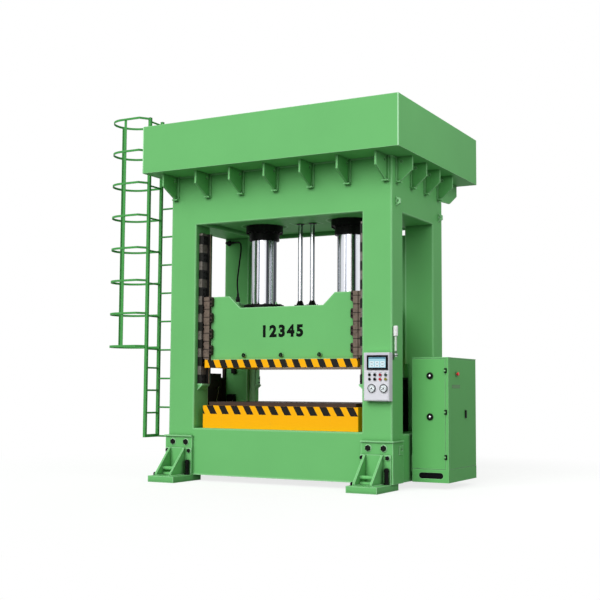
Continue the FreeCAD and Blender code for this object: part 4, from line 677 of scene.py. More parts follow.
hoseFacts = {"start": (-1.540, 0.4795, 3.385), "end": (-1.038, -0.098, 2.509), "radius": 0.012, "length": 1.311,
             "fromStart": [(0.105, 0, 0), (0.200, -0.060, -0.010), (0.275, -0.140, -0.060),
                           (0.325, -0.218, -0.160), (0.352, -0.290, -0.285), (0.378, -0.366, -0.440)],
             "fromEnd": [(-0.078, 0.110, 0.285), (-0.040, 0.043, 0.160), (0, 0, 0.070)], "wall": 0.5195}


def hoseLine(points):
    # the line of one NURBS spline that has the route's own points as its control points
    curve = bpy.data.curves.new("hoseRoute", "CURVE")
    curve.dimensions = "3D"
    spline = curve.splines.new("NURBS")
    spline.points.add(len(points) - 1)
    spline.points.foreach_set("co", np.array([[*point, 1.0] for point in points]).ravel())
    spline.order_u = 3
    spline.use_endpoint_u = True
    spline.resolution_u = 10
    mesh = curveMesh(curve)
    line = np.empty(len(mesh.vertices) * 3)
    mesh.vertices.foreach_get("co", line)
    bpy.data.meshes.remove(mesh)
    return line.reshape(-1, 3)


def layHose():
    # the upper fitting stays with the column and the lower fitting goes with the slide; the hose rides on no body
    start, end = np.array(hoseFacts["start"]), np.array(hoseFacts["end"])
    line = hoseLine([start, *(start + step for step in hoseFacts["fromStart"]),
                     *(end + step for step in hoseFacts["fromEnd"]), end])
    tube = tubeAlong(line, hoseFacts["radius"], 20, (0.75, 0.66, 0.0))
    hose = makePiece("hydraulicHose", tube, "hoseRubber", None, 60)
    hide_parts("hose")
    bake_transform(hose)

    upper = joined(
        hexHead(start - (0.004, 0, 0), toRight, 0.036, 0.022),
        turned([(0.0125, 0.020), (0.0162, 0.024), (0.0162, 0.058), (0.0135, 0.064)], start, toRight, 20),
    )
    lower = joined(
        collar(0.0178, 0.030, -0.066, -0.022, end, edge=0.003),
        hexHead(end + (0, 0, -0.020), upward, 0.046, 0.026),
        turned([(0.0125, 0.006), (0.0170, 0.010), (0.0170, 0.052), (0.0135, 0.058)], end, upward, 20),
    )
    unionLow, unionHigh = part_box("hose_union")
    rose = turned([(0.036, 0), (0.040, 0.003), (0.040, 0.009), (0.034, 0.012)],
                  ((unionLow.x + unionHigh.x) / 2, hoseFacts["wall"], start[2]), toFront, 36)
    makePiece("hoseRose", rose, "blackOxide")
    makePiece("hoseFittingUpper", upper, "blackOxide")
    makePiece("hoseFittingLower", lower, "blackOxide", "slide")


layHose()
print("hose laid")


# Rods, glands and guides

rodFacts = {"x": 0.669, "radius": 0.176, "glandLow": 3.298, "glandStep": 3.409, "seat": 2.285,
            "boltRing": 0.236, "boltCount": 12, "boltFlats": 0.030, "ringRadius": 0.286, "ringTop": 2.392,
            "ringBolts": 16, "ringBoltRing": 0.240, "returnX": 0.0935, "returnRadius": 0.032, "sealLevel": 3.502,
            "footLevel": 2.371, "footScrewRing": 0.069}


def dressRods():
    radius, thin = rodFacts["radius"], rodFacts["returnRadius"]
    rise = rodFacts["ringTop"] - rodFacts["seat"]
    for side, word in bothSides:
        x, small = side * rodFacts["x"], side * rodFacts["returnX"]
        seat = (x, 0, rodFacts["seat"])
        bolts = repeated(hexHead(origin, downward, rodFacts["boltFlats"], 0.018),
                         circlePlaces(rodFacts["boltCount"], rodFacts["boltRing"],
                                      (x, 0, rodFacts["glandStep"])))
        makePiece("glandBolts" + word, bolts, "blackOxide")
        wiper = collar(radius + 0.0008, radius + 0.014, -0.009, 0.001, (x, 0, rodFacts["glandLow"]), sides=64)
        makePiece("rodWiper" + word, wiper, "blackPlastic")
        ring = collar(radius + 0.0005, rodFacts["ringRadius"], -0.0355, rise, seat, sides=64, edge=0.006)
        clamps = repeated(hexHead((0, 0, rise - 0.0005), upward, 0.024, 0.012),
                          circlePlaces(rodFacts["ringBolts"], rodFacts["ringBoltRing"], seat, first=0.2))
        makePiece("rodSeatRing" + word, joined(ring, clamps), "blackOxide", "slide")
        seal = collar(thin + 0.0008, thin + 0.022, -0.012, 0.0, (small, 0, rodFacts["sealLevel"]))
        makePiece("returnSeal" + word, seal, "blackOxide")
        nuts = repeated(hexHead(origin, upward, 0.019, 0.010),
                        circlePlaces(6, rodFacts["footScrewRing"], (small, 0, rodFacts["footLevel"])))
        makePiece("returnFootScrews" + word, nuts, "blackOxide", "slide")


guideFacts = {"blockFace": 1.179, "blockY": 0.7185, "firstBlock": 1.294, "blockPitch": 0.237, "blockCount": 9,
              "clampX": 1.057, "clampY": -0.759, "firstClamp": 1.684, "clampPitch": 0.218, "clampCount": 4}


def dressGuides():
    # two rows of screws in each rail block, front and back, and two heads in each clamp of the shoes
    levels = guideFacts["firstBlock"] + np.arange(guideFacts["blockCount"]) * guideFacts["blockPitch"]
    heights = np.concatenate([levels + 0.030, levels + 0.090])
    screw = turned([(0.011, 0), (0.011, 0.009), (0.009, 0.011)], origin, toLeft, 16)
    rows = [side * guideFacts["blockY"] + step for side in (-1, 1) for step in (-0.03, 0.03)]
    makeMirrored("railScrews", repeated(screw, gridPlaces([guideFacts["blockFace"]], rows, heights)),
                 "blackOxide")
    levels = guideFacts["firstClamp"] + np.arange(guideFacts["clampCount"]) * guideFacts["clampPitch"]
    front = repeated(hexHead(origin, toFront, 0.024, 0.013),
                     gridPlaces([-guideFacts["clampX"], guideFacts["clampX"]], [guideFacts["clampY"]],
                                np.concatenate([levels + 0.036, levels + 0.092])))
    makePiece("clampBolts", joined(front, flipped(front, 1)), "blackOxide", "slide")


dressRods()
dressGuides()
print("rods and guides dressed")


# Slide: figures on its front plate, a plain row of digits where a rating would stand

slideFacts = {"digits": "12345", "height": 0.205, "centre": (0.021, -0.7112, 1.977),
              "eyeX": (-0.546, 0.020, 0.586), "eyeLevel": 1.672, "eyeFront": -0.737, "eyeBottom": -0.7015,
              "weldX": 1.03, "weldY": 0.661, "top": 2.249}


def dressSlide():
    makeDigits("slideFigures", slideFacts["digits"], slideFacts["height"], slideFacts["centre"], 0.0006,
               "slide", weight=0.011, spacing=1.3)
    front, bottom, level = (slideFacts[key] for key in ("eyeFront", "eyeBottom", "eyeLevel"))
    for step, x in enumerate(slideFacts["eyeX"]):
        rim = collar(0.0128, 0.0278, 0.0, 0.006, (x, front, level), toFront, 24)
        makePiece("slideEyeRim" + str(step + 1), rim, "blackOxide", "slide")
        # a thin black disc at the bottom of each eye: painted shade in the hole
        disc = turned([(0.0124, 0), (0.0124, 0.001)], (x, bottom, level), toFront, 20)
        makePiece("slideEyeShade" + str(step + 1), disc, "blackPlastic", "slide")
    # weld beads where the raised plates meet the slide's top
    x, y, z = slideFacts["weldX"], slideFacts["weldY"], slideFacts["top"]
    beads = joined(*(weldBead((-x, side * y, z), (x, side * y, z), (0, -side, 0), upward, 0.009)
                     for side in (-1, 1)))
    makePiece("slideWelds", beads, "slideEnamel", "slide")


dressSlide()
print("slide dressed")


# Feet: washers, stud threads, bars and welds

footFacts = {"columnX": 1.448, "face": -0.8575, "upper": ((-0.104, 0.515, 0.065), (0.104, 0.515, 0.065)),
             "lower": ((-0.179, 0.400, 0.046), (0.164, 0.400, 0.046)), "upperSeat": 0.030, "lowerSeat": 0.045,
             "tallStud": (0.160, -0.080, 0.024, 0.280), "shortStud": (-0.177, -0.330, 0.018, 0.122),
             "threadLow": 0.128, "ribX": (-0.140, 0.090), "ribHalf": 0.014, "baseTop": 0.082,
             "ribFaces": (-0.1265, 0.0765), "barForward": 0.2025, "barLevel": 0.170, "barRadius": 0.024}


def footPieces(centreX):
    # washers under the four heads, thread ridges on both studs, beads along the ribs and the base, one bar
    face = footFacts["face"]
    washers = [collar(flats * 0.32, flats * 0.72, 0.0003, 0.005,
                      (centreX + dx, face - footFacts[row + "Seat"], z), toFront, 24)
               for row in ("upper", "lower") for dx, z, flats in footFacts[row]]
    ridges = []
    for dx, forward, radius, top in (footFacts["tallStud"], footFacts["shortStud"]):
        # the real thread is 3 to 4 mm apart; drawn 20 mm apart so that it shows
        ridge = collar(radius - 0.001, radius + 0.0035, -0.005, 0.005, origin, sides=20, edge=0.002)
        levels = np.arange(footFacts["threadLow"], top - 0.008, 0.020)
        ridges.append(repeated(ridge, gridPlaces([centreX + dx], [face + forward], levels)))
    beads = []
    for dx in footFacts["ribX"]:
        for side in (-1, 1):
            x, z = centreX + dx + side * footFacts["ribHalf"], footFacts["baseTop"]
            beads.append(weldBead((x, face - 0.365, z), (x, face - 0.05, z), (side, 0, 0), upward, 0.008))
    first, last = footFacts["ribFaces"]
    bar = turned([(footFacts["barRadius"], 0), (footFacts["barRadius"], last - first)],
                 (centreX + first, face - footFacts["barForward"], footFacts["barLevel"]), toRight, 24)
    return joined(*washers), joined(*ridges), joined(*beads), bar


def dressFeet():
    # each back foot is the front foot of the other side, mirrored across both middles
    for side, word in bothSides:
        washers, ridges, beads, bar = footPieces(side * footFacts["columnX"])
        other = "Right" if word == "Left" else "Left"
        for name, shape, finish, slot in (("footWashers", washers, "footEnamel", "green_paint"),
                                          ("studThreads", ridges, "blackOxide", "black_paint"),
                                          ("footBars", bar, "footEnamel", "green_paint"),
                                          ("footWelds", beads, "footEnamel", "green_paint")):
            makePiece(name + "Front" + word, shape, finish)
            makePiece(name + "Back" + other, flipped(flipped(shape, 0), 1), finish)


dressFeet()
print("feet dressed")


# Crown: the outermost gussets under the platform's rear corners

crownFacts = {"back": 0.8575, "gussetFaces": (1.620, 1.645), "underDeck": 4.1275, "reach": 1.470,
              "edgeLow": 3.980, "slopeFoot": (1.195, 3.835), "heel": (0.950, 3.820)}


def dressCorners():
    # a plate with an upright edge, a slope and a short heel, carried through its thickness, and its mirror image
    back, top, reach, heel = (crownFacts[key] for key in ("back", "underDeck", "reach", "heel"))
    outline = np.array([(back, top), (reach, top), (reach, crownFacts["edgeLow"]), crownFacts["slopeFoot"],
                        heel, (back, heel[1])])
    plate = loft([np.column_stack([np.full(len(outline), x), outline]) for x in crownFacts["gussetFaces"]])
    makeMirrored("cornerGusset", plate, "footEnamel")


dressCorners()
print("crown corners dressed")


# Operator's box

boxFacts = {"left": 1.316, "right": 1.655, "front": -0.9675, "buttonX": (1.400, 1.472, 1.544, 1.616),
            "buttonZ": (1.353, 1.407), "legendZ": (1.3795, 1.4335), "screwZ": (1.114, 1.438),
            "screen": (1.391, 1.621, 1.492, 1.621), "screenY": -0.9825,
            "gaugeX": (1.432, 1.590), "gaugeZ": 1.243, "dialY": -0.9805, "hubY": -0.9842, "rimY": -0.9795,
            "glassY": -0.9865, "dialFrom": 225, "dialTo": -45, "tickCount": 28, "figureCount": 5}


def dressPanel():
    left, right, front = boxFacts["left"], boxFacts["right"], boxFacts["front"]
    middle = (left + right) / 2
    panel = slab((middle, front + 0.0005, 1.571), (0.310, 0.205, 0.003), toRight, upward, 0.006)
    makePiece("boxUpperPanel", panel, "powderLilac")
    plate = slab((middle, front + 0.0005, 1.276), (0.310, 0.345, 0.0022), toRight, upward, 0.006)
    makePiece("boxLowerPanel", plate, "powderGrey")
    rims = repeated(collar(0.0178, 0.0228, -0.001, 0.0042, origin, toFront, 28),
                    gridPlaces(boxFacts["buttonX"], [front], boxFacts["buttonZ"]))
    makePiece("buttonRims", rims, "brightSteel")
    legends = repeated(slab(origin, (0.040, 0.008, 0.0015), toRight, upward, 0.001, 0.0003),
                       gridPlaces(boxFacts["buttonX"], [front - 0.0018], boxFacts["legendZ"]))
    makePiece("buttonLegends", legends, "legendGrey")
    screws = repeated(turned([(0.0045, 0), (0.0045, 0.002), (0.003, 0.003)], origin, toFront, 12),
                      gridPlaces([left + 0.022, right - 0.022], [front - 0.0018], boxFacts["screwZ"]))
    makePiece("boxScrews", screws, "brightSteel")


def dressScreen():
    # a pale picture of plain tiles under a header, each tile with one bar
    x0, x1, z0, z1 = boxFacts["screen"]
    y, middle = boxFacts["screenY"], (x0 + x1) / 2
    picture = slab((middle, y + 0.0002, (z0 + z1) / 2), (x1 - x0 - 0.002, z1 - z0 - 0.002, 0.0006),
                   toRight, upward, 0.001, 0.0002)
    header = slab((middle, y - 0.0005, z1 - 0.011), (x1 - x0 - 0.006, 0.014, 0.0003),
                  toRight, upward, 0.001, 0.0001)
    columns, rows = np.linspace(x0 + 0.043, x1 - 0.043, 3), [z0 + 0.025, z0 + 0.064]
    tiles = repeated(slab(origin, (0.058, 0.030, 0.0003), toRight, upward, 0.002, 0.0001),
                     gridPlaces(columns, [y - 0.0005], rows))
    bars = repeated(slab(origin, (0.030, 0.005, 0.0003), toRight, upward, 0.001, 0.0001),
                    gridPlaces(columns, [y - 0.0009], rows))
    makePiece("screenPicture", picture, "screenBlue")
    makePiece("screenTiles", tiles, "screenPale")
    makePiece("screenMarks", joined(header, bars), "screenDeep")


def dialTicks(centre):
    # a bar at every angle from dialFrom to dialTo, longer and broader at every third; its outer end 40 mm out
    angle = np.radians(np.linspace(boxFacts["dialFrom"], boxFacts["dialTo"], boxFacts["tickCount"]))
    minor = np.delete(angle, np.arange(0, boxFacts["tickCount"], 3))
    ticks = []
    for chosen, length, width in ((angle[::3], 0.008, 0.0016), (minor, 0.0045, 0.0009)):
        for a in chosen:
            along = np.array([math.cos(a), 0, math.sin(a)])
            aside = np.array([math.sin(a), 0, -math.cos(a)])
            ticks.append(slab(np.array(centre) + along * (0.040 - length / 2) - (0, 0.0008, 0),
                              (width, length, 0.0002), aside, along, 0.0002, 0.00005, 1))
    return joined(*ticks)


def dressGauges():
    # dial with ticks and figures, the needle's hub, a rolled rim and the glass
    z = boxFacts["gaugeZ"]
    for step, x in enumerate(boxFacts["gaugeX"]):
        word = str(step + 1)
        centre = (x, boxFacts["dialY"], z)
        dial = turned([(0.0430, 0.0002), (0.0430, 0.0008)], centre, toFront, 48)
        makePiece("gaugeDial" + word, dial, "dialEnamel")
        makePiece("gaugeTicks" + word, dialTicks(centre), "figureInk")
        angles = np.radians(np.linspace(boxFacts["dialFrom"], boxFacts["dialTo"], boxFacts["figureCount"]))
        for count, a in enumerate(angles):
            spot = (x + 0.026 * math.cos(a), boxFacts["dialY"] - 0.0009, z + 0.026 * math.sin(a))
            makeDigits("gaugeFigure" + word + str(count), str(count * 10), 0.009, spot, 0.0002)
        hub = turned([(0.0085, 0.0), (0.0085, 0.0012), (0.005, 0.0022)], (x, boxFacts["hubY"], z), toFront, 20)
        makePiece("gaugeHub" + word, hub, "figureInk", ("needle_a", "needle_b")[step])
        rim = turned([(0.0428, 0.0), (0.0515, 0.0), (0.0525, 0.004), (0.0515, 0.010), (0.0470, 0.0115),
                      (0.0428, 0.009)], (x, boxFacts["rimY"], z), toFront, 48, ring=True)
        makePiece("gaugeRim" + word, rim, "blackPlastic")
        glass = turned([(0.0426, 0.0), (0.0426, 0.0012), (0.030, 0.0022), (0.0002, 0.0026)],
                       (x, boxFacts["glassY"], z), toFront, 40)
        makePiece("gaugeGlass" + word, glass, "clearGlass")


beaconFacts = {"x": 1.685, "y": -0.825, "ribLow": 1.895, "ribHigh": 1.978, "ribCount": 12,
               "foot": 1.6515, "nut": 1.640}


def dressBeacon():
    x, y = beaconFacts["x"], beaconFacts["y"]
    levels = np.linspace(beaconFacts["ribLow"], beaconFacts["ribHigh"], beaconFacts["ribCount"])
    rib = collar(0.0275, 0.0284, -0.0015, 0.0015, origin, sides=28, edge=0.0008)
    makePiece("beaconRibs", repeated(rib, gridPlaces([x], [y], levels)), "whitePlastic")
    foot = joined(collar(0.0205, 0.0235, 0.0, 0.015, (x, y, beaconFacts["foot"])),
                  hexHead((x, y, beaconFacts["nut"]), downward, 0.030, 0.012))
    makePiece("beaconFoot", foot, "brightSteel")


dressPanel()
dressScreen()
dressGauges()
dressBeacon()
print("operator's box dressed")


# Electrical cabinet

cabinetFacts = {"front": -0.319, "side": 2.174, "vent": (1.778, 2.100, 0.130, 0.203), "slatCount": 19,
                "lockX": 1.930, "locks": (("Lower", "lock_bottom", 0.892), ("Upper", "lock_top", 1.403)),
                "estop": (-0.044, 1.429), "pilotStep": 0.062, "handle": (0.280, 0.957),
                "namePlace": (-0.0485, 1.271), "gearX": (1.80, 2.07), "gearY": 0.580, "gearCount": 9,
                "gearLow": 0.460, "gearPitch": 0.300, "duct": (1.935, 0.6595, 0.610)}


def dressCabinetFront():
    x0, x1, z0, z1 = cabinetFacts["vent"]
    front, middleZ = cabinetFacts["front"], (z0 + z1) / 2
    backing = slab(((x0 + x1) / 2, front + 0.012, middleZ), (x1 - x0 - 0.001, z1 - z0 - 0.001, 0.002),
                   toRight, upward, 0.035, 0.0005, 6)
    columns = np.linspace(x0 + 0.034, x1 - 0.034, cabinetFacts["slatCount"])
    slats = repeated(slab(origin, (0.005, z1 - z0 - 0.006, 0.006), toRight, upward, 0.001),
                     gridPlaces(columns, [front + 0.009], [middleZ]))
    makePiece("ventBacking", backing, "blackPlastic")
    makePiece("ventSlats", slats, "blackPlastic")
    x = cabinetFacts["lockX"]
    for word, body, z in cabinetFacts["locks"]:
        core = turned([(0.0150, 0), (0.0150, 0.0012), (0.0130, 0.002)], (x, front - 0.0184, z), toFront, 28)
        rim = collar(0.034, 0.0428, 0.0, 0.002, (x, front - 0.0112, z), toFront, 36)
        makePiece("lockCore" + word, core, "brightSteel", body)
        makePiece("lockRim" + word, rim, "blackEnamel", body)


def dressCabinetSide():
    side = cabinetFacts["side"]
    estopY, estopZ = cabinetFacts["estop"]
    pilotY = estopY + cabinetFacts["pilotStep"]
    rim = collar(0.0172, 0.0205, 0.0, 0.005, (side, pilotY, estopZ), toRight, 28)
    makePiece("pilotRim", rim, "blackPlastic", "side_door")
    lens = turned([(0.0168, 0.0), (0.0168, 0.003), (0.013, 0.006), (0.0003, 0.008)],
                  (side + 0.0138, pilotY, estopZ), toRight, 28)
    makePiece("pilotLens", lens, "darkGreenPlastic", "side_door")
    surround = collar(0.0272, 0.034, 0.0, 0.0025, (side, estopY, estopZ), toRight, 36)
    makePiece("estopSurround", surround, "blackPlastic", "side_door")
    handleY, handleZ = cabinetFacts["handle"]
    plate = slab((side, handleY, handleZ - 0.037), (0.022, 0.118, 0.003), toBack, upward, 0.010, 0.001, 5)
    makePiece("handlePlate", plate, "blackPlastic", "side_door")
    # the strip where the photograph has small marks, left bare
    strip = slab((side, *cabinetFacts["namePlace"]), (0.289, 0.046, 0.0012), toBack, upward, 0.003, 0.0004)
    makePiece("bareNamePlace", strip, "barePlate", "side_door")


def dressCabinetInside():
    # rows of breakers with their levers, and ducts between
    columns, y = np.linspace(*cabinetFacts["gearX"], cabinetFacts["gearCount"]), cabinetFacts["gearY"]
    steps = np.arange(4) * cabinetFacts["gearPitch"]
    breakers = repeated(slab(origin, (0.024, 0.085, 0.006), toRight, upward, 0.002),
                        gridPlaces(columns, [y - 0.0005], cabinetFacts["gearLow"] + steps))
    levers = repeated(slab(origin, (0.009, 0.020, 0.012), toRight, upward, 0.002),
                      gridPlaces(columns, [y - 0.006], cabinetFacts["gearLow"] + 0.002 + steps))
    makePiece("breakers", breakers, "whitePlastic")
    makePiece("breakerLevers", levers, "blackPlastic")
    x, y, z = cabinetFacts["duct"]
    ducts = repeated(slab(origin, (0.30, 0.050, 0.060), toRight, upward, 0.002),
                     gridPlaces([x], [y], z + steps[:3]))
    makePiece("wireDucts", ducts, "powderGrey")


dressCabinetFront()
dressCabinetSide()
dressCabinetInside()
print("cabinet dressed")


# Ladder and cage

ladderFacts = {"x": -1.960, "railY": (-0.978, -0.690), "top": 4.989, "hoopPitch": 0.453, "hoopCount": 8}


def dressLadder():
    x, railY, top = ladderFacts["x"], ladderFacts["railY"], ladderFacts["top"]
    caps = repeated(slab(origin, (0.042, 0.042, 0.006), toRight, toBack, 0.004, 0.0015),
                    gridPlaces([x], railY, [top - 0.001]))
    makePiece("ladderCaps", caps, "blackPlastic")
    levels = top - 0.015 - np.arange(ladderFacts["hoopCount"]) * ladderFacts["hoopPitch"]
    bolts = repeated(hexHead(origin, toLeft, 0.013, 0.007), gridPlaces([x - 0.020], railY, levels))
    makePiece("hoopBolts", bolts, "brightSteel")


dressLadder()
print("ladder dressed")


# Equipment on the platform

deckFacts = {"motorMiddle": 1.140, "motorEnd": 1.320, "motorY": -0.800, "motorZ": 4.348, "motorRadius": 0.140,
             "tankTop": 4.628, "tankHalf": 0.900, "tankY": (0.520, 1.280), "flangeTop": 4.208,
             "flangeRing": 0.375, "cylinderX": 0.669, "cylinderTop": 4.722, "pumpX": 0.745, "pipeLevel": 4.62,
             "pressureRadius": 0.021, "suctionRadius": 0.036, "filler": (0.630, 0.900),
             "sight": (-0.600, 0.5195, 4.400), "coilX": (-0.1575, -0.0525, 0.0525, 0.1575),
             "coilY": -0.870, "coilZ": 4.468}


def dressMotors():
    # fins every 15 degrees but near the top and the bottom, and the fan's cover at the motor's end
    y, z, radius, end = (deckFacts[key] for key in ("motorY", "motorZ", "motorRadius", "motorEnd"))
    angles = np.radians(np.arange(-150, 331, 15))
    angles = angles[(np.abs(np.sin(angles / 2 - np.pi / 4)) > 0.25) & (np.sin(angles) >= -0.75)]
    middle = np.array([deckFacts["motorMiddle"], y, z])
    fins = []
    for a in angles:
        out = np.array([0, math.cos(a), math.sin(a)])
        foot = middle + out * (radius + 0.006) - np.cross(toRight, out) * 0.0015
        fins.append(slab(foot, (0.300, 0.022, 0.003), toRight, out, 0.001, 0.0005, 1))
    outline = [(radius + 0.004, 0), (radius + 0.010, 0.006), (radius + 0.010, 0.070), (radius - 0.030, 0.084)]
    cover = turned(outline, (end - 0.006, y, z), toRight, 40)
    makeMirrored("motorFins", joined(*fins), "gearEnamel")
    makeMirrored("fanCover", cover, "blackEnamel")


def pipe(points, radius, bend):
    return tubeAlong(bentPath(points, bend), radius)


def dressPipes():
    # pressure pipes from the pumps to the manifold and on to each cylinder's head, suction pipes to the tank
    x, y, z, level, top = (deckFacts[key] for key in ("pumpX", "motorY", "motorZ", "pipeLevel", "cylinderTop"))
    headX, radius = deckFacts["cylinderX"], deckFacts["pressureRadius"]
    pressure = joined(
        pipe([(x, y, z + 0.080), (x, y, level), (x, -0.700, level), (0.180, -0.700, level),
              (0.180, -0.700, 4.50)], radius, 0.05),
        pipe([(0.120, -0.650, 4.35), (0.120, -0.560, 4.35), (0.120, -0.560, 4.80), (headX, -0.400, 4.80),
              (headX, 0, 4.80), (headX, 0, 4.71)], radius, 0.05),
    )
    suction = pipe([(0.690, y - 0.080, z), (0.690, -0.960, z), (1.420, -0.960, z), (1.420, 0.800, z),
                    (0.900, 0.800, z)], deckFacts["suctionRadius"], 0.09)
    flanges = joined(
        collar(0.020, 0.050, 0.0, 0.018, (headX, 0, top)), collar(0.020, 0.045, 0.0, 0.015, (x, y, z + 0.083)),
        collar(0.035, 0.065, 0.0, 0.018, (0.898, 0.800, z), toRight),
    )
    makeMirrored("pressurePipes", pressure, "brightSteel")
    makeMirrored("suctionPipe", suction, "gearEnamel")
    makeMirrored("pipeFlanges", flanges, "castSteel")


def dressTank():
    # bolts on the cylinders' flanges and round the tank's lid, filler cap, level glass and the valves' coils
    for side, word in bothSides:
        middle = (side * deckFacts["cylinderX"], 0, deckFacts["flangeTop"])
        bolts = repeated(hexHead(origin, upward, 0.050, 0.030),
                         circlePlaces(16, deckFacts["flangeRing"], middle))
        makePiece("cylinderBolts" + word, bolts, "blackOxide")
    lidY = np.linspace(deckFacts["tankY"][0] + 0.02, deckFacts["tankY"][1] - 0.02, 5)
    lidX = np.linspace(-deckFacts["tankHalf"] + 0.02, deckFacts["tankHalf"] - 0.02, 11)
    lidTop = deckFacts["tankTop"] + 0.012
    head = hexHead(origin, upward, 0.019, 0.010)
    bolts = joined(repeated(head, gridPlaces(lidX, lidY[[0, -1]], [lidTop])),
                   repeated(head, gridPlaces(lidX[[0, -1]], lidY[1:-1], [lidTop])))
    makePiece("tankLidBolts", bolts, "brightSteel")
    base = (*deckFacts["filler"], lidTop + 0.056)
    cap = joined(collar(0.060, 0.078, 0.0, 0.028, base, sides=40, edge=0.004),
                 turned([(0.062, 0.028), (0.062, 0.034), (0.030, 0.040)], base, sides=40))
    makePiece("fillerCap", cap, "blackPlastic")
    sight = slab(deckFacts["sight"], (0.030, 0.200, 0.012), toRight, upward, 0.008, 0.002)
    makePiece("levelGlass", sight, "clearGlass")
    coils = repeated(turned([(0.018, 0), (0.018, 0.034), (0.012, 0.040)], origin, toFront, 20),
                     gridPlaces(deckFacts["coilX"], [deckFacts["coilY"]], [deckFacts["coilZ"]]))
    makePiece("valveCoils", coils, "blackPlastic")


dressMotors()
dressPipes()
dressTank()
print("deck equipment dressed")


# Small boxes on the back left column, the rail's backing and the guard's rim

insideFacts = {"wall": 0.5195, "screwX": (-1.548, -1.452), "screwZ": (1.049, 1.133),
               "backing": (-1.2005, 0.6005, 2.1725), "backingSize": (0.090, 2.337, 0.012),
               "rim": (-1.650, 0, 1.4195), "rimSize": (0.879, 0.057, 0.006)}


def dressBoxesInside():
    wall = insideFacts["wall"]
    lid = slab((-1.500, wall - 0.0695, 1.091), (0.117, 0.104, 0.004), toRight, upward)
    small = slab((-1.465, wall - 0.0445, 1.490), (0.062, 0.072, 0.004), toRight, upward)
    screws = repeated(turned([(0.004, 0), (0.004, 0.002), (0.0025, 0.003)], origin, toFront, 10),
                      gridPlaces(insideFacts["screwX"], [wall - 0.0733], insideFacts["screwZ"]))
    makePiece("smallBoxLids", joined(lid, small), "blackEnamel")
    makePiece("smallBoxScrews", screws, "brightSteel")
    # an enamelled plate behind the left back rail, down to the bolster, and the left guard's folded rim
    backing = slab(insideFacts["backing"], insideFacts["backingSize"], toRight, upward, 0.002)
    makePiece("railBackingLeft", backing, "frameEnamel")
    rim = slab(insideFacts["rim"], insideFacts["rimSize"], toBack, upward, 0.002)
    makePiece("guardRimLeft", rim, "guardLeft")


dressBoxesInside()
print("small boxes dressed")


# Floor, lamps and world

studio = {"floorSize": 60, "floorTone": "#868886", "floorLift": 0.79, "keyStrength": 2.35, "backStrength": 0.6,
          "sidePower": 95.0, "frontPower": 28.0, "worldStrength": 0.38, "fadeFrom": 4.2, "fadeTo": 7.0}


def seenDirectly(tree):
    # 1 for camera, glossy and transmission rays, 0 for those that carry light
    path = addNode(tree, "ShaderNodeLightPath")
    seen = calc(tree, "ADD", (path, "Is Camera Ray"), (path, "Is Glossy Ray"), clamp=True)
    return calc(tree, "ADD", seen, (path, "Is Transmission Ray"), clamp=True)


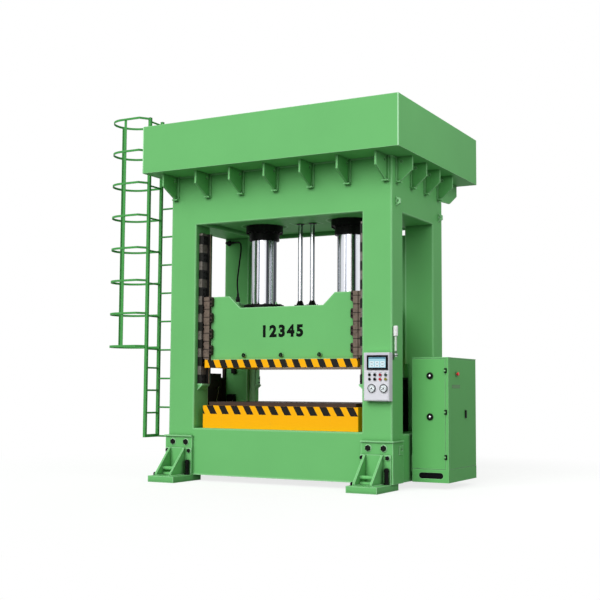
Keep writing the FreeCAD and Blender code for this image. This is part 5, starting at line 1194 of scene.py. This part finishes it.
def layFloor():
    # one square: pale near the press, where it keeps the shadow; further out camera and gloss see plain white
    size = studio["floorSize"]
    corners = [(-size, -size, 0), (size, -size, 0), (size, size, 0), (-size, size, 0)]
    mesh = bpy.data.meshes.new("studioFloor")
    mesh.from_pydata(corners, [], [(0, 1, 2, 3)])
    floor = bpy.data.objects.new("studioFloor", mesh)
    scene.collection.objects.link(floor)
    material = bpy.data.materials.new("studioFloor")
    material.use_nodes = True
    tree = material.node_tree
    tree.nodes.clear()
    flat = addNode(tree, "ShaderNodeMapping",
                   {"Scale": (1, 1, 0), "Vector": (addNode(tree, "ShaderNodeTexCoord"), "Object")})
    distance = addNode(tree, "ShaderNodeVectorMath", {"operation": "LENGTH", 0: (flat, "Vector")})
    fade = remap(tree, (distance, "Value"), studio["fadeFrom"], studio["fadeTo"])
    seen = seenDirectly(tree)
    matt = addNode(tree, "ShaderNodeBsdfDiffuse", {"Color": hexLinear(studio["floorTone"])})
    glow = calc(tree, "MULTIPLY", seen, studio["floorLift"])
    lift = addNode(tree, "ShaderNodeEmission", {"Color": (1, 1, 1, 1), "Strength": glow})
    near = addNode(tree, "ShaderNodeAddShader", {0: (matt, "BSDF"), 1: (lift, "Emission")})
    white = addNode(tree, "ShaderNodeEmission", {"Color": (1, 1, 1, 1), "Strength": 1.0})
    mixed = addNode(tree, "ShaderNodeMixShader",
                    {0: calc(tree, "MULTIPLY", fade, seen), 1: (near, "Shader"), 2: (white, "Emission")})
    addNode(tree, "ShaderNodeOutputMaterial", {"Surface": (mixed, "Shader")})
    floor.data.materials.append(material)


def lightStudio():
    # white where the camera sees it and dim as a source of light; a broad key from the front, slightly left, a
    # weak one behind, and soft boxes high on the right and in front of the crown, whose light falls off downwards
    world = bpy.data.worlds.new("studioWorld")
    scene.world = world
    world.use_nodes = True
    tree = world.node_tree
    tree.nodes.clear()
    power = remap(tree, seenDirectly(tree), 0.0, 1.0, studio["worldStrength"], 1.0)
    sky = addNode(tree, "ShaderNodeBackground", {"Color": (1, 1, 1, 1), "Strength": power})
    addNode(tree, "ShaderNodeOutputWorld", {"Surface": (sky, "Background")})
    for name, kind, power, size, place, direction in (
        ("keyLamp", "SUN", studio["keyStrength"], math.radians(50), (0, -8, 8), (0.08, 0.85, -0.45)),
        ("backLamp", "SUN", studio["backStrength"], math.radians(60), (0, 8, 8), (0.30, -0.80, -0.50)),
        ("sideBox", "AREA", studio["sidePower"], 3.0, (6.5, -1.5, 6.0), (-4.6, 1.5, -1.8)),
        ("frontBox", "AREA", studio["frontPower"], 3.0, (-0.5, -6.0, 6.0), (0.5, 5.1, -2.4)),
    ):
        lamp = bpy.data.lights.new(name, kind)
        lamp.energy = power
        if kind == "SUN":
            lamp.angle = size
        else:
            lamp.size = size
        holder = bpy.data.objects.new(name, lamp)
        scene.collection.objects.link(holder)
        holder.location = place
        holder.rotation_mode = "QUATERNION"
        holder.rotation_quaternion = Vector(direction).to_track_quat("-Z", "Y")
        holder.visible_camera = False


layFloor()
lightStudio()
scene.view_settings.view_transform = "Standard"
print("studio lit")
